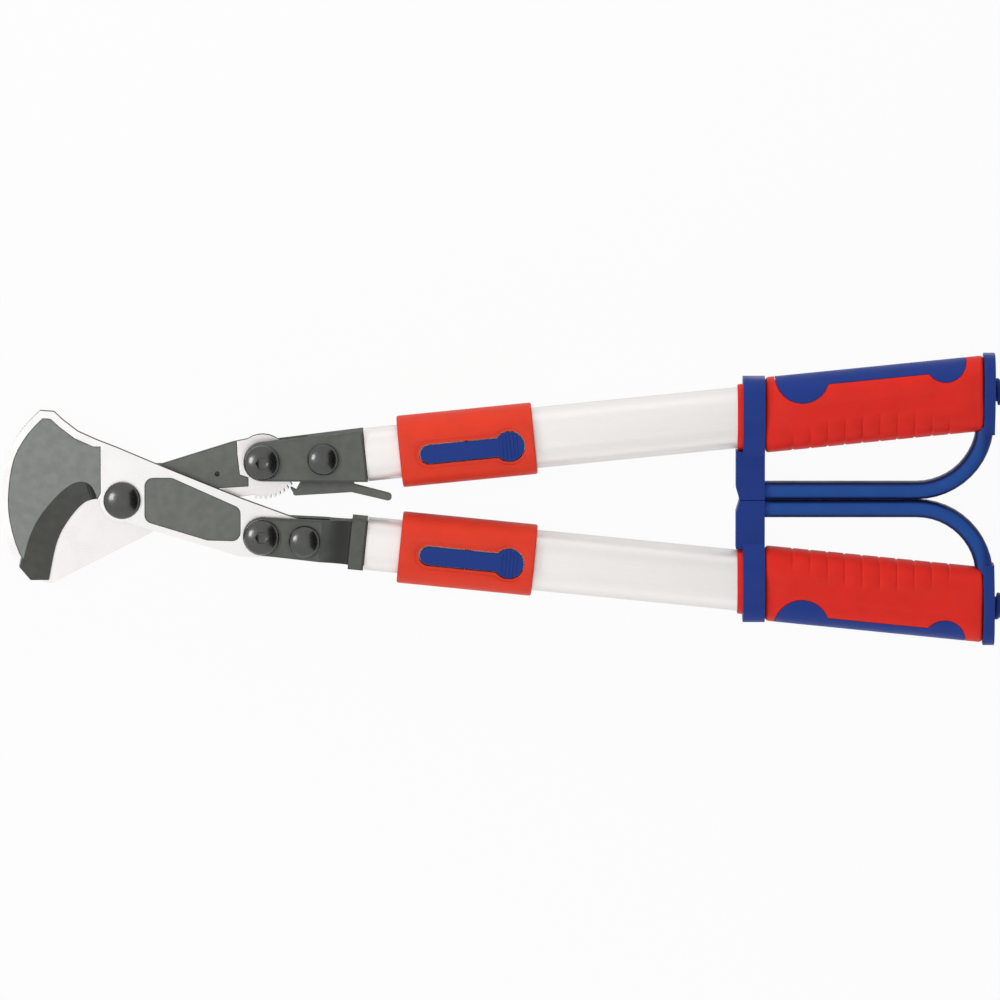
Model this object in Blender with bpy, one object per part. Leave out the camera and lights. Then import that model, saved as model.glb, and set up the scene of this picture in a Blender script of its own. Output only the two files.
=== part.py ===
"""Ratchet cable cutter with telescopic handles, closed and lying on its broad side.

Units are metres. The tool lies along +X with its jaws at -X, and +Z points up. The handle hinged on the blade
is on the +Y side. Pieces are laid out about the main pivot, with the shear plane between jaw and blade at
height zero, and the root empty then sets the tool down with its origin under the middle of its box.

A handle has its own frame: u runs along the tube, v points outward from the tool's middle line, w is height.
Handle pieces are drawn for the upper handle and flipped for the lower one.
"""
import math
from collections import namedtuple

import bmesh
import bpy
from mathutils import Matrix, Vector

for leftover in list(bpy.data.objects):
    bpy.data.objects.remove(leftover, do_unlink=True)

# Fits
CLEARANCE = 0.0003            # gap left between pieces that touch or slide
SHEAR_GAP = 0.0003            # gap between the jaw and the blade
REACH = 0.3                   # length of a cutter that passes right through

# Handles, as they lie when the blades are closed
HANDLE_ANGLE = 5.72           # degrees between the tool's middle line and each handle
HANDLE_OFFSET = 0.0115        # from the main pivot to each handle's axis, across the tool
TELESCOPE_TRAVEL = 0.200      # how far each handle pulls out
LOCK_POSITIONS = 3            # lock holes in each inner tube, spread over the travel

# Fixed jaw
JAW_THICKNESS = 0.007
JAW_BEVEL_TIP = 0.0187        # width of the bevel on the front, at the hook's tip
JAW_BEVEL_HEEL = 0.0133       # and at its other end, by the main pivot
JAW_BEVEL_ROUND = 0.0080      # length over which that end is rounded off
JAW_BOSS_RADIUS = 0.0125      # round the main pivot
JAW_TAIL_RADIUS = 0.0100      # round the rear bolt of the lower fitting
JAW_RIM = 0.0045              # bright rim round the sunk hook panel
JAW_PANEL_HEEL = (-0.0125, 0.0040)   # lower corner of the hook panel's end, before the main pivot
EDGE_LAND = 0.0010            # flat left under a bevel
PANEL_DEPTH = 0.0005          # depth of the sunk panels, and how far their walls slope
ARM_PANEL_CORNER = 0.0045     # rounding of the arm panel's corners
ARM_PANEL = [(0.0132, 0.0125), (0.0132, -0.0120), (0.0488, -0.0228), (0.0673, -0.0233), (0.0673, -0.0049),
             (0.0284, 0.0125)]
JAW_TOP = [(0.0673, 0.0011), (0.0182, 0.0211), (-0.0034, 0.0302), (-0.0251, 0.0393), (-0.0388, 0.0507)]
JAW_BACK = [(-0.0467, 0.0513), (-0.0570, 0.0405), (-0.0655, 0.0255), (-0.0690, 0.0060), (-0.0684, -0.0120),
            (-0.0625, -0.0325), (-0.0525, -0.0462)]
JAW_EDGE = [(-0.0422, -0.0465), (-0.0376, -0.0251), (-0.0308, -0.0120), (-0.0220, -0.0022), (-0.0140, 0.0004)]
JAW_ARM_UNDER = [(0.0165, -0.0171), (0.0678, -0.0325)]

# Moving blade
BLADE_THICKNESS = 0.007
BLADE_BEVEL = 0.011
BLADE_SHOULDER_RADIUS = 0.020
BLADE_EDGE = [(-0.0200, 0.0085), (-0.0300, 0.0010), (-0.0380, -0.0120), (-0.0440, -0.0280),
              (-0.0475, -0.0440)]
BLADE_BACK = [(-0.0450, -0.0478), (-0.0405, -0.0484), (0.0165, -0.0194), (0.0300, -0.0080), (0.0500, -0.0015)]
TAIL_TOP = [(0.0627, 0.0325), (0.0228, 0.0200)]
TAIL_PANEL = [(0.0150, 0.0215), (0.0500, 0.0060), (0.0717, 0.0075), (0.0717, 0.0120), (0.0668, 0.0137),
              (0.0655, 0.0250), (0.0648, 0.0400), (0.0150, 0.0300)]
TAIL_HOLE_CENTER = (0.0542, 0.0143)
TAIL_HOLE_RADIUS = 0.0014
TAIL_HOLE_DEPTH = 0.0040

# Ratchet sector round the eye, and the pawl that drops into it
EYE_RADIUS = 0.0150
TOOTH_TIP_RADIUS = 0.0220
TOOTH_HEIGHT = 0.0020
TOOTH_PITCH = 7.5             # degrees
TEETH_BEFORE_NOSE = 8
TEETH_AFTER_NOSE = 5
NOSE_ANGLE = -50.0            # degrees, from the handle's axis to the pawl nose, seen from the eye
NOSE_HEIGHT = 0.0032
NOSE_TIP_WIDTH = 0.0006
NOSE_ROOT_WIDTH = 0.0022
PAWL_THICKNESS = 0.0064
PAWL_BOSS_RADIUS = 0.0080
PAWL_DEPTH = 0.0024           # depth of the pawl bar below the nose
TONGUE_LENGTH = 0.0365        # from the pawl bolt to the end of the release tongue
TONGUE_DEPTH = 0.0042
TONGUE_DROP = 0.0265          # from the pawl bolt down to the tongue's end
TAIL_SEAT_DEPTH = 0.0100      # from the pawl bolt down to the spring seat
TAIL_SEAT_PLAY = 0.0004       # room along the spring seat, beside the spring
PAWL_SPRING_RADIUS = 0.0024
PAWL_SPRING_WIRE = 0.0004     # radius
PAWL_SPRING_TURNS = 6

# Fittings between head and tubes
FITTING_HALF_WIDTH = 0.0130   # from the shear plane to each broad side
FITTING_CHAMFER = 0.0012
NOSE_RADIUS = 0.0108          # round end of the cheeks
COLLAR_FROM_PAWL = 0.0240     # from the pawl bolt to the collar's end, where both tubes begin
COLLAR_LENGTH = 0.0088
TANG_LENGTH = 0.0250
EYE_U = 0.0808
EYE_RISE = 0.0025
PAWL_SPACING = 0.0348         # from the eye bolt to the pawl bolt
PAWL_RISE = 0.0010
SLOT_PAST_PAWL = 0.0179       # how far the fork's slot runs past the pawl bolt
WEB_BEFORE_PAWL = 0.0076      # the web that closes the fork's back begins this far before the pawl bolt
WEB_THICKNESS = 0.0040
BOSS_ROOM = 0.0016            # between the pawl's boss and the web
LOWER_BOLT_U = 0.0803
LOWER_SPACING = 0.0246        # between the two bolts through the jaw's arm
LOWER_RISE = 0.0010
ARM_ROOM = 0.0031             # between the end of the jaw's arm and the end of its slot
LOWER_NECK_HALF_HEIGHT = 0.0125
SCOOP_LENGTH = 0.0170         # hollow before the lower collar
SCOOP_DEPTH = 0.0055
SCOOP_FILLET = 0.0020

# Bolts: shank radius, head radius and head height
PIVOT_SHANK = 0.0060
PIVOT_HEAD = 0.0107
PIVOT_HEAD_HEIGHT = 0.0056
LARGE_SHANK = 0.0050
LARGE_HEAD = 0.0101
LARGE_HEAD_HEIGHT = 0.0050
SMALL_SHANK = 0.0045
SMALL_HEAD = 0.0090
SMALL_HEAD_HEIGHT = 0.0048
SOCKET_RADIUS = 0.0036
SOCKET_DEPTH = 0.0022
WASHER_THICKNESS = 0.0016
WASHER_RADIUS = 0.0110
NUT_THICKNESS = 0.0054
NUT_WALL = 0.0040             # from the shank to a nut's corners, beyond the flats
BOLT_END = 0.0007             # how far a bolt stands out of its nut

# Telescopic tubes
INNER_TUBE_HEIGHT = 0.0307
INNER_TUBE_WIDTH = 0.0210
INNER_TUBE_WALL = 0.0020
INNER_TUBE_LENGTH = 0.3070
TUBE_PLAY = 0.0006            # between inner and outer tube, on each side
OUTER_TUBE_WALL = 0.0015
GUIDE_PLUG_LENGTH = 0.0120
GUIDE_FLANGE = 0.0040
GUIDE_AIR_RADIUS = 0.0040

# Lock sleeve and rocker lever
BARE_TUBE = 0.0197            # inner tube that shows between the collar and the sleeve
SLEEVE_LENGTH = 0.0773
SLEEVE_WALL = 0.0028          # round the outer tube, except in front
SLEEVE_COLLAR = 0.0087        # part that closes down on the inner tube
LEVER_LENGTH = 0.0510         # from the lever's slim end to the middle of its round pad
LEVER_START = 0.0118          # from the sleeve's end to the lever's slim end
LEVER_WIDTH = 0.0102
LEVER_PAD_RADIUS = 0.0084
LEVER_SHIFT = -0.0018         # lever's middle line, from the tube's axis, the same way on both handles
LEVER_PLAY = 0.0008           # gap round the lever
LEVER_ROOM = 0.0029           # between the outer tube and the lever, for its stroke
LEVER_SINK = 0.0007           # how far the lever lies below the sleeve's front
LEVER_THICKNESS = 0.0018
HINGE_FROM_PAD = 0.0245       # from the pad's middle to the lever's hinge
HINGE_PIN_RADIUS = 0.0010
HINGE_BOSS_RADIUS = 0.0020
HINGE_PIN_SEAT = 0.0022       # how far the pin reaches into the sleeve on each side
LOCK_PIN_RADIUS = 0.0020
LOCK_PIN_INSET = 0.0060       # from the lever's slim end to the lock pin
LOCK_HOLE_PLAY = 0.0013       # room for the lock pin's swing
LOCK_SPRING_RADIUS = 0.0030
LOCK_SPRING_WIRE = 0.00022    # radius
LOCK_SPRING_TURNS = 1.75

# Grip, inlay, hand guard and end cap
END_ROOM = 0.0190             # from the inner tube's guide to the end cap, with the handle pushed in
RING_LENGTH = 0.0125
RING_HALF_HEIGHT = 0.0225
GUARD_HALF_WIDTH = 0.0195
GUARD_CORNER = 0.0130
BAR_HALF_WIDTH = 0.0085
GUARD_GAP = 0.0004            # between the two guards when the tool is closed
LOOP_DEPTH = 0.0100
LOOP_WIDTH = 0.0160
LOOP_EDGE = 0.0047            # rounding of the loop's edges
LOOP_BEND_RADIUS = 0.0390     # of the loop's middle, where it turns up to the end plate
LOOP_SETBACK = 0.0004         # from the end plate's outer face to the loop's outer side
BAR_LEDGE = 0.0040            # thumb ledge on the near side of the bar below the ring
BAR_LEDGE_DROP = 0.0070       # slope at the ledge's lower end
GRIP_LENGTH = 0.1242
GRIP_WALL = 0.0038
GRIP_ROUNDING = 0.0020
GRIP_NECK_WALL = 0.0013
GRIP_LIP = 0.0032             # part of the neck that shows before the ring
INLAY_DEPTH = 0.0018
INLAY_STRIP = 0.0062          # width of the strip along the grip's outer edge
INLAY_START = 0.0075          # from the grip's start to the inlay
INLAY_END = 0.0080            # from the inlay to the grip's end
FRONT_LOBE_RADIUS = 0.0155
REAR_LOBE_RADIUS = 0.0118
END_PLATE_LENGTH = 0.0064
END_PLATE_HALF_WIDTH = 0.0175
CAP_PLUG_LENGTH = 0.0200
CAP_STEM_RADIUS = 0.0055
CAP_HEAD_RADIUS = 0.0078
CAP_HEAD_HEIGHT = 0.0034

# Finishes: colour as it looks on a screen, roughness, metallic
BRIGHT_STEEL = ((214, 213, 210), 0.35, 1.0)
DARK_STEEL = ((96, 98, 94), 0.50, 0.6)
BLACK_STEEL = ((62, 63, 61), 0.38, 0.8)
ALUMINIUM = ((226, 224, 222), 0.40, 0.9)
RED_PLASTIC = ((216, 52, 40), 0.45, 0.0)
BLUE_PLASTIC = ((38, 62, 134), 0.45, 0.0)
GREY_PLASTIC = ((70, 72, 76), 0.55, 0.0)

# Values worked out from the sizes above
ANGLE = math.radians(HANDLE_ANGLE)
JAW_BOTTOM = SHEAR_GAP / 2
JAW_FRONT = JAW_BOTTOM + JAW_THICKNESS
BLADE_FRONT = -SHEAR_GAP / 2
BLADE_REAR = BLADE_FRONT - BLADE_THICKNESS
TOOTH_ROOT_RADIUS = TOOTH_TIP_RADIUS - TOOTH_HEIGHT
TAIL_SEAT_LENGTH = PAWL_BOSS_RADIUS + 2 * (PAWL_SPRING_RADIUS + PAWL_SPRING_WIRE) + TAIL_SEAT_PLAY
COLLAR_HALF_HEIGHT = PAWL_RISE + PAWL_BOSS_RADIUS + BOSS_ROOM + WEB_THICKNESS
PAWL_U = EYE_U + PAWL_SPACING
UPPER_SLOT_END_U = PAWL_U + SLOT_PAST_PAWL
WEB_START_U = PAWL_U - WEB_BEFORE_PAWL
COLLAR_U = PAWL_U + COLLAR_FROM_PAWL
LOWER_REAR_U = LOWER_BOLT_U + LOWER_SPACING
LOWER_SLOT_END_U = LOWER_REAR_U + JAW_TAIL_RADIUS + ARM_ROOM
INNER_TUBE_U = COLLAR_U + CLEARANCE
INNER_TUBE_END_U = INNER_TUBE_U + INNER_TUBE_LENGTH
GUIDE_END_U = INNER_TUBE_END_U + CLEARANCE + GUIDE_FLANGE
SLEEVE_U = COLLAR_U + BARE_TUBE
OUTER_TUBE_HEIGHT = INNER_TUBE_HEIGHT + 2 * (TUBE_PLAY + OUTER_TUBE_WALL)
OUTER_TUBE_WIDTH = INNER_TUBE_WIDTH + 2 * (TUBE_PLAY + OUTER_TUBE_WALL)
OUTER_TUBE_U = SLEEVE_U + SLEEVE_COLLAR + CLEARANCE
LEVER_U = SLEEVE_U + LEVER_START
PAD_U = LEVER_U + LEVER_LENGTH
HINGE_U = PAD_U - HINGE_FROM_PAD
LEVER_BOTTOM = OUTER_TUBE_WIDTH / 2 + LEVER_ROOM
LEVER_TOP = LEVER_BOTTOM + LEVER_THICKNESS
SLEEVE_HEIGHT = OUTER_TUBE_HEIGHT + 2 * (CLEARANCE + SLEEVE_WALL)
SLEEVE_FRONT = LEVER_TOP + LEVER_SINK
SLEEVE_REAR = OUTER_TUBE_WIDTH / 2 + CLEARANCE + SLEEVE_WALL
HINGE_W = LEVER_TOP - HINGE_BOSS_RADIUS - CLEARANCE / 2
LOCK_PIN_U = LEVER_U + LOCK_PIN_INSET
LOCK_HOLE_RADIUS = LOCK_PIN_RADIUS + LOCK_HOLE_PLAY
OUTER_TUBE_END_U = GUIDE_END_U + END_ROOM + CAP_PLUG_LENGTH
TUBE_CORNER_U = OUTER_TUBE_END_U + OUTER_TUBE_HEIGHT / 2 * math.tan(ANGLE)
GRIP_END_X = TUBE_CORNER_U * math.cos(ANGLE) + GRIP_ROUNDING
GRIP_X = GRIP_END_X - GRIP_LENGTH
GUARD_X = GRIP_X - CLEARANCE - RING_LENGTH
END_PLATE_X = GRIP_END_X + CLEARANCE
GRIP_HEIGHT = OUTER_TUBE_HEIGHT + 2 * (CLEARANCE + GRIP_WALL)
GRIP_WIDTH = OUTER_TUBE_WIDTH + 2 * (CLEARANCE + GRIP_WALL)
NECK_HEIGHT = OUTER_TUBE_HEIGHT + 2 * (CLEARANCE + GRIP_NECK_WALL)
NECK_WIDTH = OUTER_TUBE_WIDTH + 2 * (CLEARANCE + GRIP_NECK_WALL)

Body = namedtuple("Body", "empty origin")


def arc(center, radius, start, end, steps):
    """Points on a circle, from one angle in degrees to another."""
    points = []
    for step in range(steps + 1):
        angle = math.radians(start + (end - start) * step / steps)
        points.append((center[0] + radius * math.cos(angle), center[1] + radius * math.sin(angle)))
    return points


def curve_through(points, steps):
    """A smooth curve that passes through every point."""
    curve = []
    last = len(points) - 1
    for index in range(last):
        before = Vector(points[max(index - 1, 0)])
        start = Vector(points[index])
        end = Vector(points[index + 1])
        after = Vector(points[min(index + 2, last)])
        for step in range(steps):
            t = step / steps
            linear = (end - before) * t
            square = (2 * before - 5 * start + 4 * end - after) * t ** 2
            cube = (3 * start - before - 3 * end + after) * t ** 3
            curve.append(tuple((2 * start + linear + square + cube) / 2))
    curve.append(tuple(points[last]))
    return curve


def left_of(start, end):
    """Unit vector to the left of the way from one point to another."""
    along = (Vector(end) - Vector(start)).normalized()
    return Vector((-along.y, along.x))


def shifted(points, distance, closed):
    """The same run of points moved sideways, to the left of the way they run."""
    count = len(points)
    moved = []
    for index, point in enumerate(points):
        sides = []
        if closed or index > 0:
            sides.append(left_of(points[index - 1], point))
        if closed or index < count - 1:
            sides.append(left_of(point, points[(index + 1) % count]))
        middle = sum(sides, Vector((0, 0))).normalized()
        stretch = max(middle.dot(sides[0]), 0.5)
        moved.append(tuple(Vector(point) + middle * distance / stretch))
    return moved


def rounded(corners, radius, steps):
    """An outline that runs against the clock, with its corners rounded."""
    points = []
    for index, corner in enumerate(corners):
        before = left_of(corners[index - 1], corner)
        after = left_of(corner, corners[(index + 1) % len(corners)])
        middle = (before + after).normalized()
        center = Vector(corner) + middle * radius / middle.dot(before)
        start = math.degrees(math.atan2(-before.y, -before.x))
        turn = math.degrees(math.atan2(before.x * after.y - before.y * after.x, before.dot(after)))
        points += arc(center, radius, start, start + turn, steps)
    return points


def oval(height, width):
    """Outline of an oval tube: two half circles joined by straights, as points (v, w)."""
    radius = width / 2
    straight = (height - width) / 2
    return arc((straight, 0), radius, -90, 90, 8) + arc((-straight, 0), radius, 90, 270, 8)


def loft(rings):
    """A closed solid through rings that have as many points each."""
    solid = bmesh.new()
    loops = [[solid.verts.new(point) for point in ring] for ring in rings]
    count = len(rings[0])
    for lower, upper in zip(loops, loops[1:]):
        for index in range(count):
            following = (index + 1) % count
            solid.faces.new((lower[index], lower[following], upper[following], upper[index]))
    solid.faces.new(loops[0][::-1])
    solid.faces.new(loops[-1])
    bmesh.ops.recalc_face_normals(solid, faces=solid.faces)
    return solid


def prism(outline, bottom, top):
    """An outline in the plane, raised from one height to another."""
    return loft([[(x, y, z) for x, y in outline] for z in (bottom, top)])


def chamfered(outline, bottom, top, chamfer):
    """A raised outline whose two rims are chamfered."""
    inset = shifted(outline, chamfer, True)
    levels = [(inset, bottom), (outline, bottom + chamfer), (outline, top - chamfer), (inset, top)]
    return loft([[(x, y, z) for x, y in points] for points, z in levels])


def box(low, high):
    """A block between two corners."""
    corners = [(low[0], low[1]), (high[0], low[1]), (high[0], high[1]), (low[0], high[1])]
    return prism(corners, low[2], high[2])


def turned(profile, sides=20):
    """A round solid about the vertical, from (radius, height) pairs in order of height."""
    return loft([[(x, y, height) for x, y in arc((0, 0), radius, 0, 360 - 360 / sides, sides - 1)]
                 for radius, height in profile])


def rod(radius, bottom, top, x=0, y=0, sides=20):
    """An upright cylinder."""
    solid = turned([(radius, bottom), (radius, top)], sides)
    bmesh.ops.translate(solid, verts=solid.verts, vec=(x, y, 0))
    return solid


def along_handle(stations, slant=0):
    """A solid along u from (u, height, width, lift) stations; slant leans every ring along the tool."""
    rings = []
    for u, height, width, lift in stations:
        rings.append([(u + v * slant, v, w + lift) for v, w in oval(height, width)])
    return loft(rings)


def combine(base, tool, operation):
    """One solid made from two by a Boolean."""
    pieces = []
    for solid in (base, tool):
        mesh = bpy.data.meshes.new("working")
        solid.to_mesh(mesh)
        solid.free()
        pieces.append(bpy.data.objects.new("working", mesh))
        bpy.context.scene.collection.objects.link(pieces[-1])
    modifier = pieces[0].modifiers.new("combine", "BOOLEAN")
    modifier.operation = operation
    modifier.solver = "EXACT"
    modifier.object = pieces[1]
    bpy.context.view_layer.update()
    evaluated = pieces[0].evaluated_get(bpy.context.evaluated_depsgraph_get())
    result = bmesh.new()
    result.from_mesh(evaluated.data)
    for piece in pieces:
        mesh = piece.data
        bpy.data.objects.remove(piece, do_unlink=True)
        bpy.data.meshes.remove(mesh)
    return result


def cut(base, *tools):
    """The base with every tool's shape taken away."""
    for tool in tools:
        base = combine(base, tool, "DIFFERENCE")
    return base


def join(base, *others):
    """The base and the others as one solid."""
    for other in others:
        base = combine(base, other, "UNION")
    return base


def moved(solid, matrix):
    """The solid after a move or a turn."""
    bmesh.ops.transform(solid, matrix=matrix, verts=solid.verts)
    return solid


def flipped(solid, side):
    """A piece drawn for the upper handle, mirrored for the lower one."""
    return moved(solid, Matrix.Diagonal((1, side, 1, 1)))


def on_handle(side, u, v=0):
    """A point of a handle in the main pivot's frame."""
    x = u * math.cos(ANGLE) - v * math.sin(ANGLE)
    y = HANDLE_OFFSET + u * math.sin(ANGLE) + v * math.cos(ANGLE)
    return Vector((x, side * y, 0))


def from_pivot(x, y):
    """A point of the main pivot's frame, on the upper side, in the upper handle's frame."""
    u = x * math.cos(ANGLE) + (y - HANDLE_OFFSET) * math.sin(ANGLE)
    v = -x * math.sin(ANGLE) + (y - HANDLE_OFFSET) * math.cos(ANGLE)
    return Vector((u, v, 0))


def axis_height(x):
    """How far a handle's axis lies from the tool's middle line."""
    return HANDLE_OFFSET + x * math.tan(ANGLE)


def add_empty(name, parent, location, turn):
    """An empty that carries pieces, turned about the vertical."""
    empty = bpy.data.objects.new(name, None)
    empty.empty_display_size = 0.01
    empty.parent = parent
    empty.location = location
    empty.rotation_euler.z = turn
    bpy.context.scene.collection.objects.link(empty)
    return empty


def child_body(name, parent, origin):
    """A body whose pieces are described in its parent's frame, with its empty at the origin given."""
    place = Vector(origin)
    return Body(add_empty(name, parent.empty, place - parent.origin, 0), place)


def handle_body(name, parent, side, u, rise):
    """A body described in a handle's frame, carried by a body described in the main pivot's frame."""
    location = on_handle(side, u, rise) - parent.origin
    return Body(add_empty(name, parent.empty, location, side * ANGLE), Vector((u, side * rise, 0)))


def screen_colour(colour):
    """A screen colour as the linear colour that a shader takes."""
    return [(value / 255) ** 2.2 for value in colour] + [1]


def make_piece(name, solid, finish, body, place=(0, 0, 0), turn=0):
    """One named object with its own material, carried by a body's empty."""
    bmesh.ops.recalc_face_normals(solid, faces=solid.faces)
    mesh = bpy.data.meshes.new(name)
    solid.to_mesh(mesh)
    solid.free()
    mesh.shade_smooth()
    mesh.set_sharp_from_angle(angle=math.radians(35))
    colour, roughness, metallic = finish
    material = bpy.data.materials.new(name + "_finish")
    material.use_nodes = True
    shader = material.node_tree.nodes["Principled BSDF"]
    shader.inputs["Base Color"].default_value = screen_colour(colour)
    shader.inputs["Roughness"].default_value = roughness
    shader.inputs["Metallic"].default_value = metallic
    mesh.materials.append(material)
    piece = bpy.data.objects.new(name, mesh)
    piece.parent = body.empty
    piece.location = Vector(place) - body.origin
    piece.rotation_euler.z = turn
    bpy.context.scene.collection.objects.link(piece)
    return piece


def make_bolt(name, body, place, seat, end, sizes, socket):
    """A bolt with a domed head on a seat at one height, its shank running down to another height."""
    shank, head, head_height = sizes
    rim = head_height * 0.25
    profile = [(shank, end), (shank, seat), (head, seat), (head, seat + rim)]
    for step in range(1, 6):
        angle = math.radians(15 * step)
        profile.append((head * math.cos(angle), seat + rim + (head_height - rim) * math.sin(angle)))
    solid = turned(profile)
    if socket:
        top = seat + head_height
        solid = cut(solid, turned([(SOCKET_RADIUS, top - SOCKET_DEPTH), (SOCKET_RADIUS, top + head)], 6))
    make_piece(name, solid, BLACK_STEEL, body, place)


def make_nut(name, body, place, seat, shank):
    """A six-sided nut below a seat."""
    radius = shank + NUT_WALL
    solid = turned([(radius, seat - NUT_THICKNESS), (radius, seat)], 6)
    solid = cut(solid, rod(shank + CLEARANCE, seat - 2 * NUT_THICKNESS, seat + NUT_THICKNESS))
    make_piece(name, solid, BLACK_STEEL, body, place)


def make_bolt_and_nut(name, body, place, sizes, socket):
    """A bolt through a fitting's two cheeks, its nut on the rear cheek."""
    seat = FITTING_HALF_WIDTH + CLEARANCE
    end = -seat - NUT_THICKNESS - BOLT_END
    make_bolt(name + "_bolt", body, place, seat, end, sizes, socket)
    make_nut(name + "_nut", body, place, -seat, sizes[0])


def coil(radius, wire, turns, length):
    """A spring of round wire standing on the ground, and the least gap between its turns."""
    points_per_turn = 10
    count = int(points_per_turn * turns)
    rise = length - 2 * wire
    centers = []
    for index in range(count + 1):
        angle = 2 * math.pi * index / points_per_turn
        height = wire + rise * index / count
        centers.append(Vector((radius * math.cos(angle), radius * math.sin(angle), height)))
    rings = []
    for index, center in enumerate(centers):
        outward = Vector((center.x, center.y, 0)).normalized()
        ring = []
        for turn in range(6):
            angle = math.radians(60 * turn)
            ring.append(center + wire * (outward * math.cos(angle) + Vector((0, 0, math.sin(angle)))))
        rings.append(ring)
    apart = points_per_turn // 2
    gaps = [(one - other).length for index, one in enumerate(centers) for other in centers[index + apart:]]
    return loft(rings), min(gaps) - 2 * wire


def make_spring(name, body, place, radius, wire, turns, length, matrix):
    """A coil spring, turned by a matrix, with its least gap printed."""
    solid, gap = coil(radius, wire, turns, length)
    print(name, "least gap between turns", round(gap * 1000, 2), "mm")
    make_piece(name, moved(solid, matrix), BRIGHT_STEEL, body, place)


def bevel_cutter(edge, tip_width, heel_width, heel_round, low, high):
    """Cutter for a bevel rising from an edge: widest at its first point, the tip, and round at its last."""
    tip = Vector(edge[0])
    heel = Vector(edge[-1])
    past_tip = tip + (tip - Vector(edge[1])).normalized() * tip_width
    halfway = [(Vector(start) + Vector(end)) / 2 for start, end in zip(edge, edge[1:])]
    line = [past_tip] + halfway
    rings = []
    for index, (point, back) in enumerate(zip(line, shifted(line, 1, False))):
        width = tip_width + (heel_width - tip_width) * index / (len(line) - 1)
        rounding = max(1 - (heel - point).length / heel_round, 0)
        width *= math.sqrt(1 - rounding ** 2)
        inward = Vector(back) - point
        near = point - inward * EDGE_LAND
        far = point + inward * (width + EDGE_LAND)
        drop = (high - low) * EDGE_LAND / width
        rings.append([(near.x, near.y, low - drop), (far.x, far.y, high + drop), (far.x, far.y, 2 * high),
                      (near.x, near.y, 2 * high)])
    solid = loft(rings)
    bmesh.ops.triangulate(solid, faces=solid.faces)
    return solid


def panel_cutter(outline, front):
    """Cutter for a sunk panel with sloping walls; the outline runs against the clock."""
    rim = shifted(outline, -PANEL_DEPTH, True)
    levels = [(outline, front - PANEL_DEPTH), (rim, front), (rim, front + REACH)]
    return loft([[(x, y, z) for x, y in points] for points, z in levels])


def make_fixed_jaw(body):
    """Hooked jaw with a bevel, two sunk panels and the arm that runs into the lower fitting."""
    top = curve_through(JAW_TOP, 2)
    back = curve_through(JAW_BACK, 3)
    edge = curve_through(JAW_EDGE, 8)
    front_bolt = on_handle(-1, LOWER_BOLT_U, LOWER_RISE)
    rear_bolt = on_handle(-1, LOWER_REAR_U, LOWER_RISE)
    boss = arc((0, 0), JAW_BOSS_RADIUS, 181, 280, 8)
    tail = arc(rear_bolt, JAW_TAIL_RADIUS, -90 - HANDLE_ANGLE, 80, 10)
    solid = prism(edge + boss + JAW_ARM_UNDER + tail + top + back, JAW_BOTTOM, JAW_FRONT)
    bevel = bevel_cutter(edge, JAW_BEVEL_TIP, JAW_BEVEL_HEEL, JAW_BEVEL_ROUND, JAW_BOTTOM + EDGE_LAND,
                         JAW_FRONT)
    rim = [point for point in shifted(top + back, JAW_RIM, False) if point[0] < JAW_PANEL_HEEL[0]]
    hook_panel = rim + edge[:-1] + [JAW_PANEL_HEEL, (JAW_PANEL_HEEL[0], rim[0][1])]
    arm_panel = rounded(ARM_PANEL, ARM_PANEL_CORNER, 5)
    holes = [rod(PIVOT_SHANK + CLEARANCE, -REACH, REACH)]
    for bolt, shank in ((front_bolt, LARGE_SHANK), (rear_bolt, SMALL_SHANK)):
        holes.append(rod(shank + CLEARANCE, -REACH, REACH, bolt.x, bolt.y))
    solid = cut(solid, bevel, panel_cutter(hook_panel, JAW_FRONT), panel_cutter(arm_panel, JAW_FRONT), *holes)
    make_piece("fixed_jaw", solid, BRIGHT_STEEL, body)


def sector_teeth(eye):
    """Outline of the ratchet teeth round the eye, against the clock."""
    middle = NOSE_ANGLE + HANDLE_ANGLE
    points = []
    for tooth in range(-TEETH_BEFORE_NOSE, TEETH_AFTER_NOSE):
        center = middle + (tooth + 0.5) * TOOTH_PITCH
        for radius, share in ((TOOTH_ROOT_RADIUS, -0.33), (TOOTH_TIP_RADIUS, -0.16),
                              (TOOTH_TIP_RADIUS, 0.16), (TOOTH_ROOT_RADIUS, 0.33)):
            points += arc(eye, radius, center + share * TOOTH_PITCH, center + share * TOOTH_PITCH, 1)[:1]
    return points


def make_moving_blade(body):
    """Blade, tail and toothed eye, cut from one plate behind the jaw."""
    eye = on_handle(1, EYE_U, EYE_RISE)
    last_tooth = NOSE_ANGLE + HANDLE_ANGLE + TEETH_AFTER_NOSE * TOOTH_PITCH
    edge = curve_through(BLADE_EDGE, 4)
    shoulder = arc((0, 0), BLADE_SHOULDER_RADIUS, 95, 145, 5)
    outline = edge + BLADE_BACK + sector_teeth(eye)
    outline += arc(eye, EYE_RADIUS, last_tooth + 8, 125, 10) + TAIL_TOP + shoulder
    ground = shifted(edge, BLADE_BEVEL, False) + outline[len(edge):]
    levels = [(ground, BLADE_REAR), (outline, BLADE_FRONT - EDGE_LAND), (outline, BLADE_FRONT)]
    solid = loft([[(x, y, z) for x, y in points] for points, z in levels])
    blind_hole = rod(TAIL_HOLE_RADIUS, BLADE_FRONT - TAIL_HOLE_DEPTH, REACH, *TAIL_HOLE_CENTER, sides=12)
    solid = cut(solid, panel_cutter(TAIL_PANEL, BLADE_FRONT), rod(PIVOT_SHANK + CLEARANCE, -REACH, REACH),
                rod(LARGE_SHANK + CLEARANCE, -REACH, REACH, eye.x, eye.y), blind_hole)
    make_piece("moving_blade", solid, BRIGHT_STEEL, body)


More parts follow.
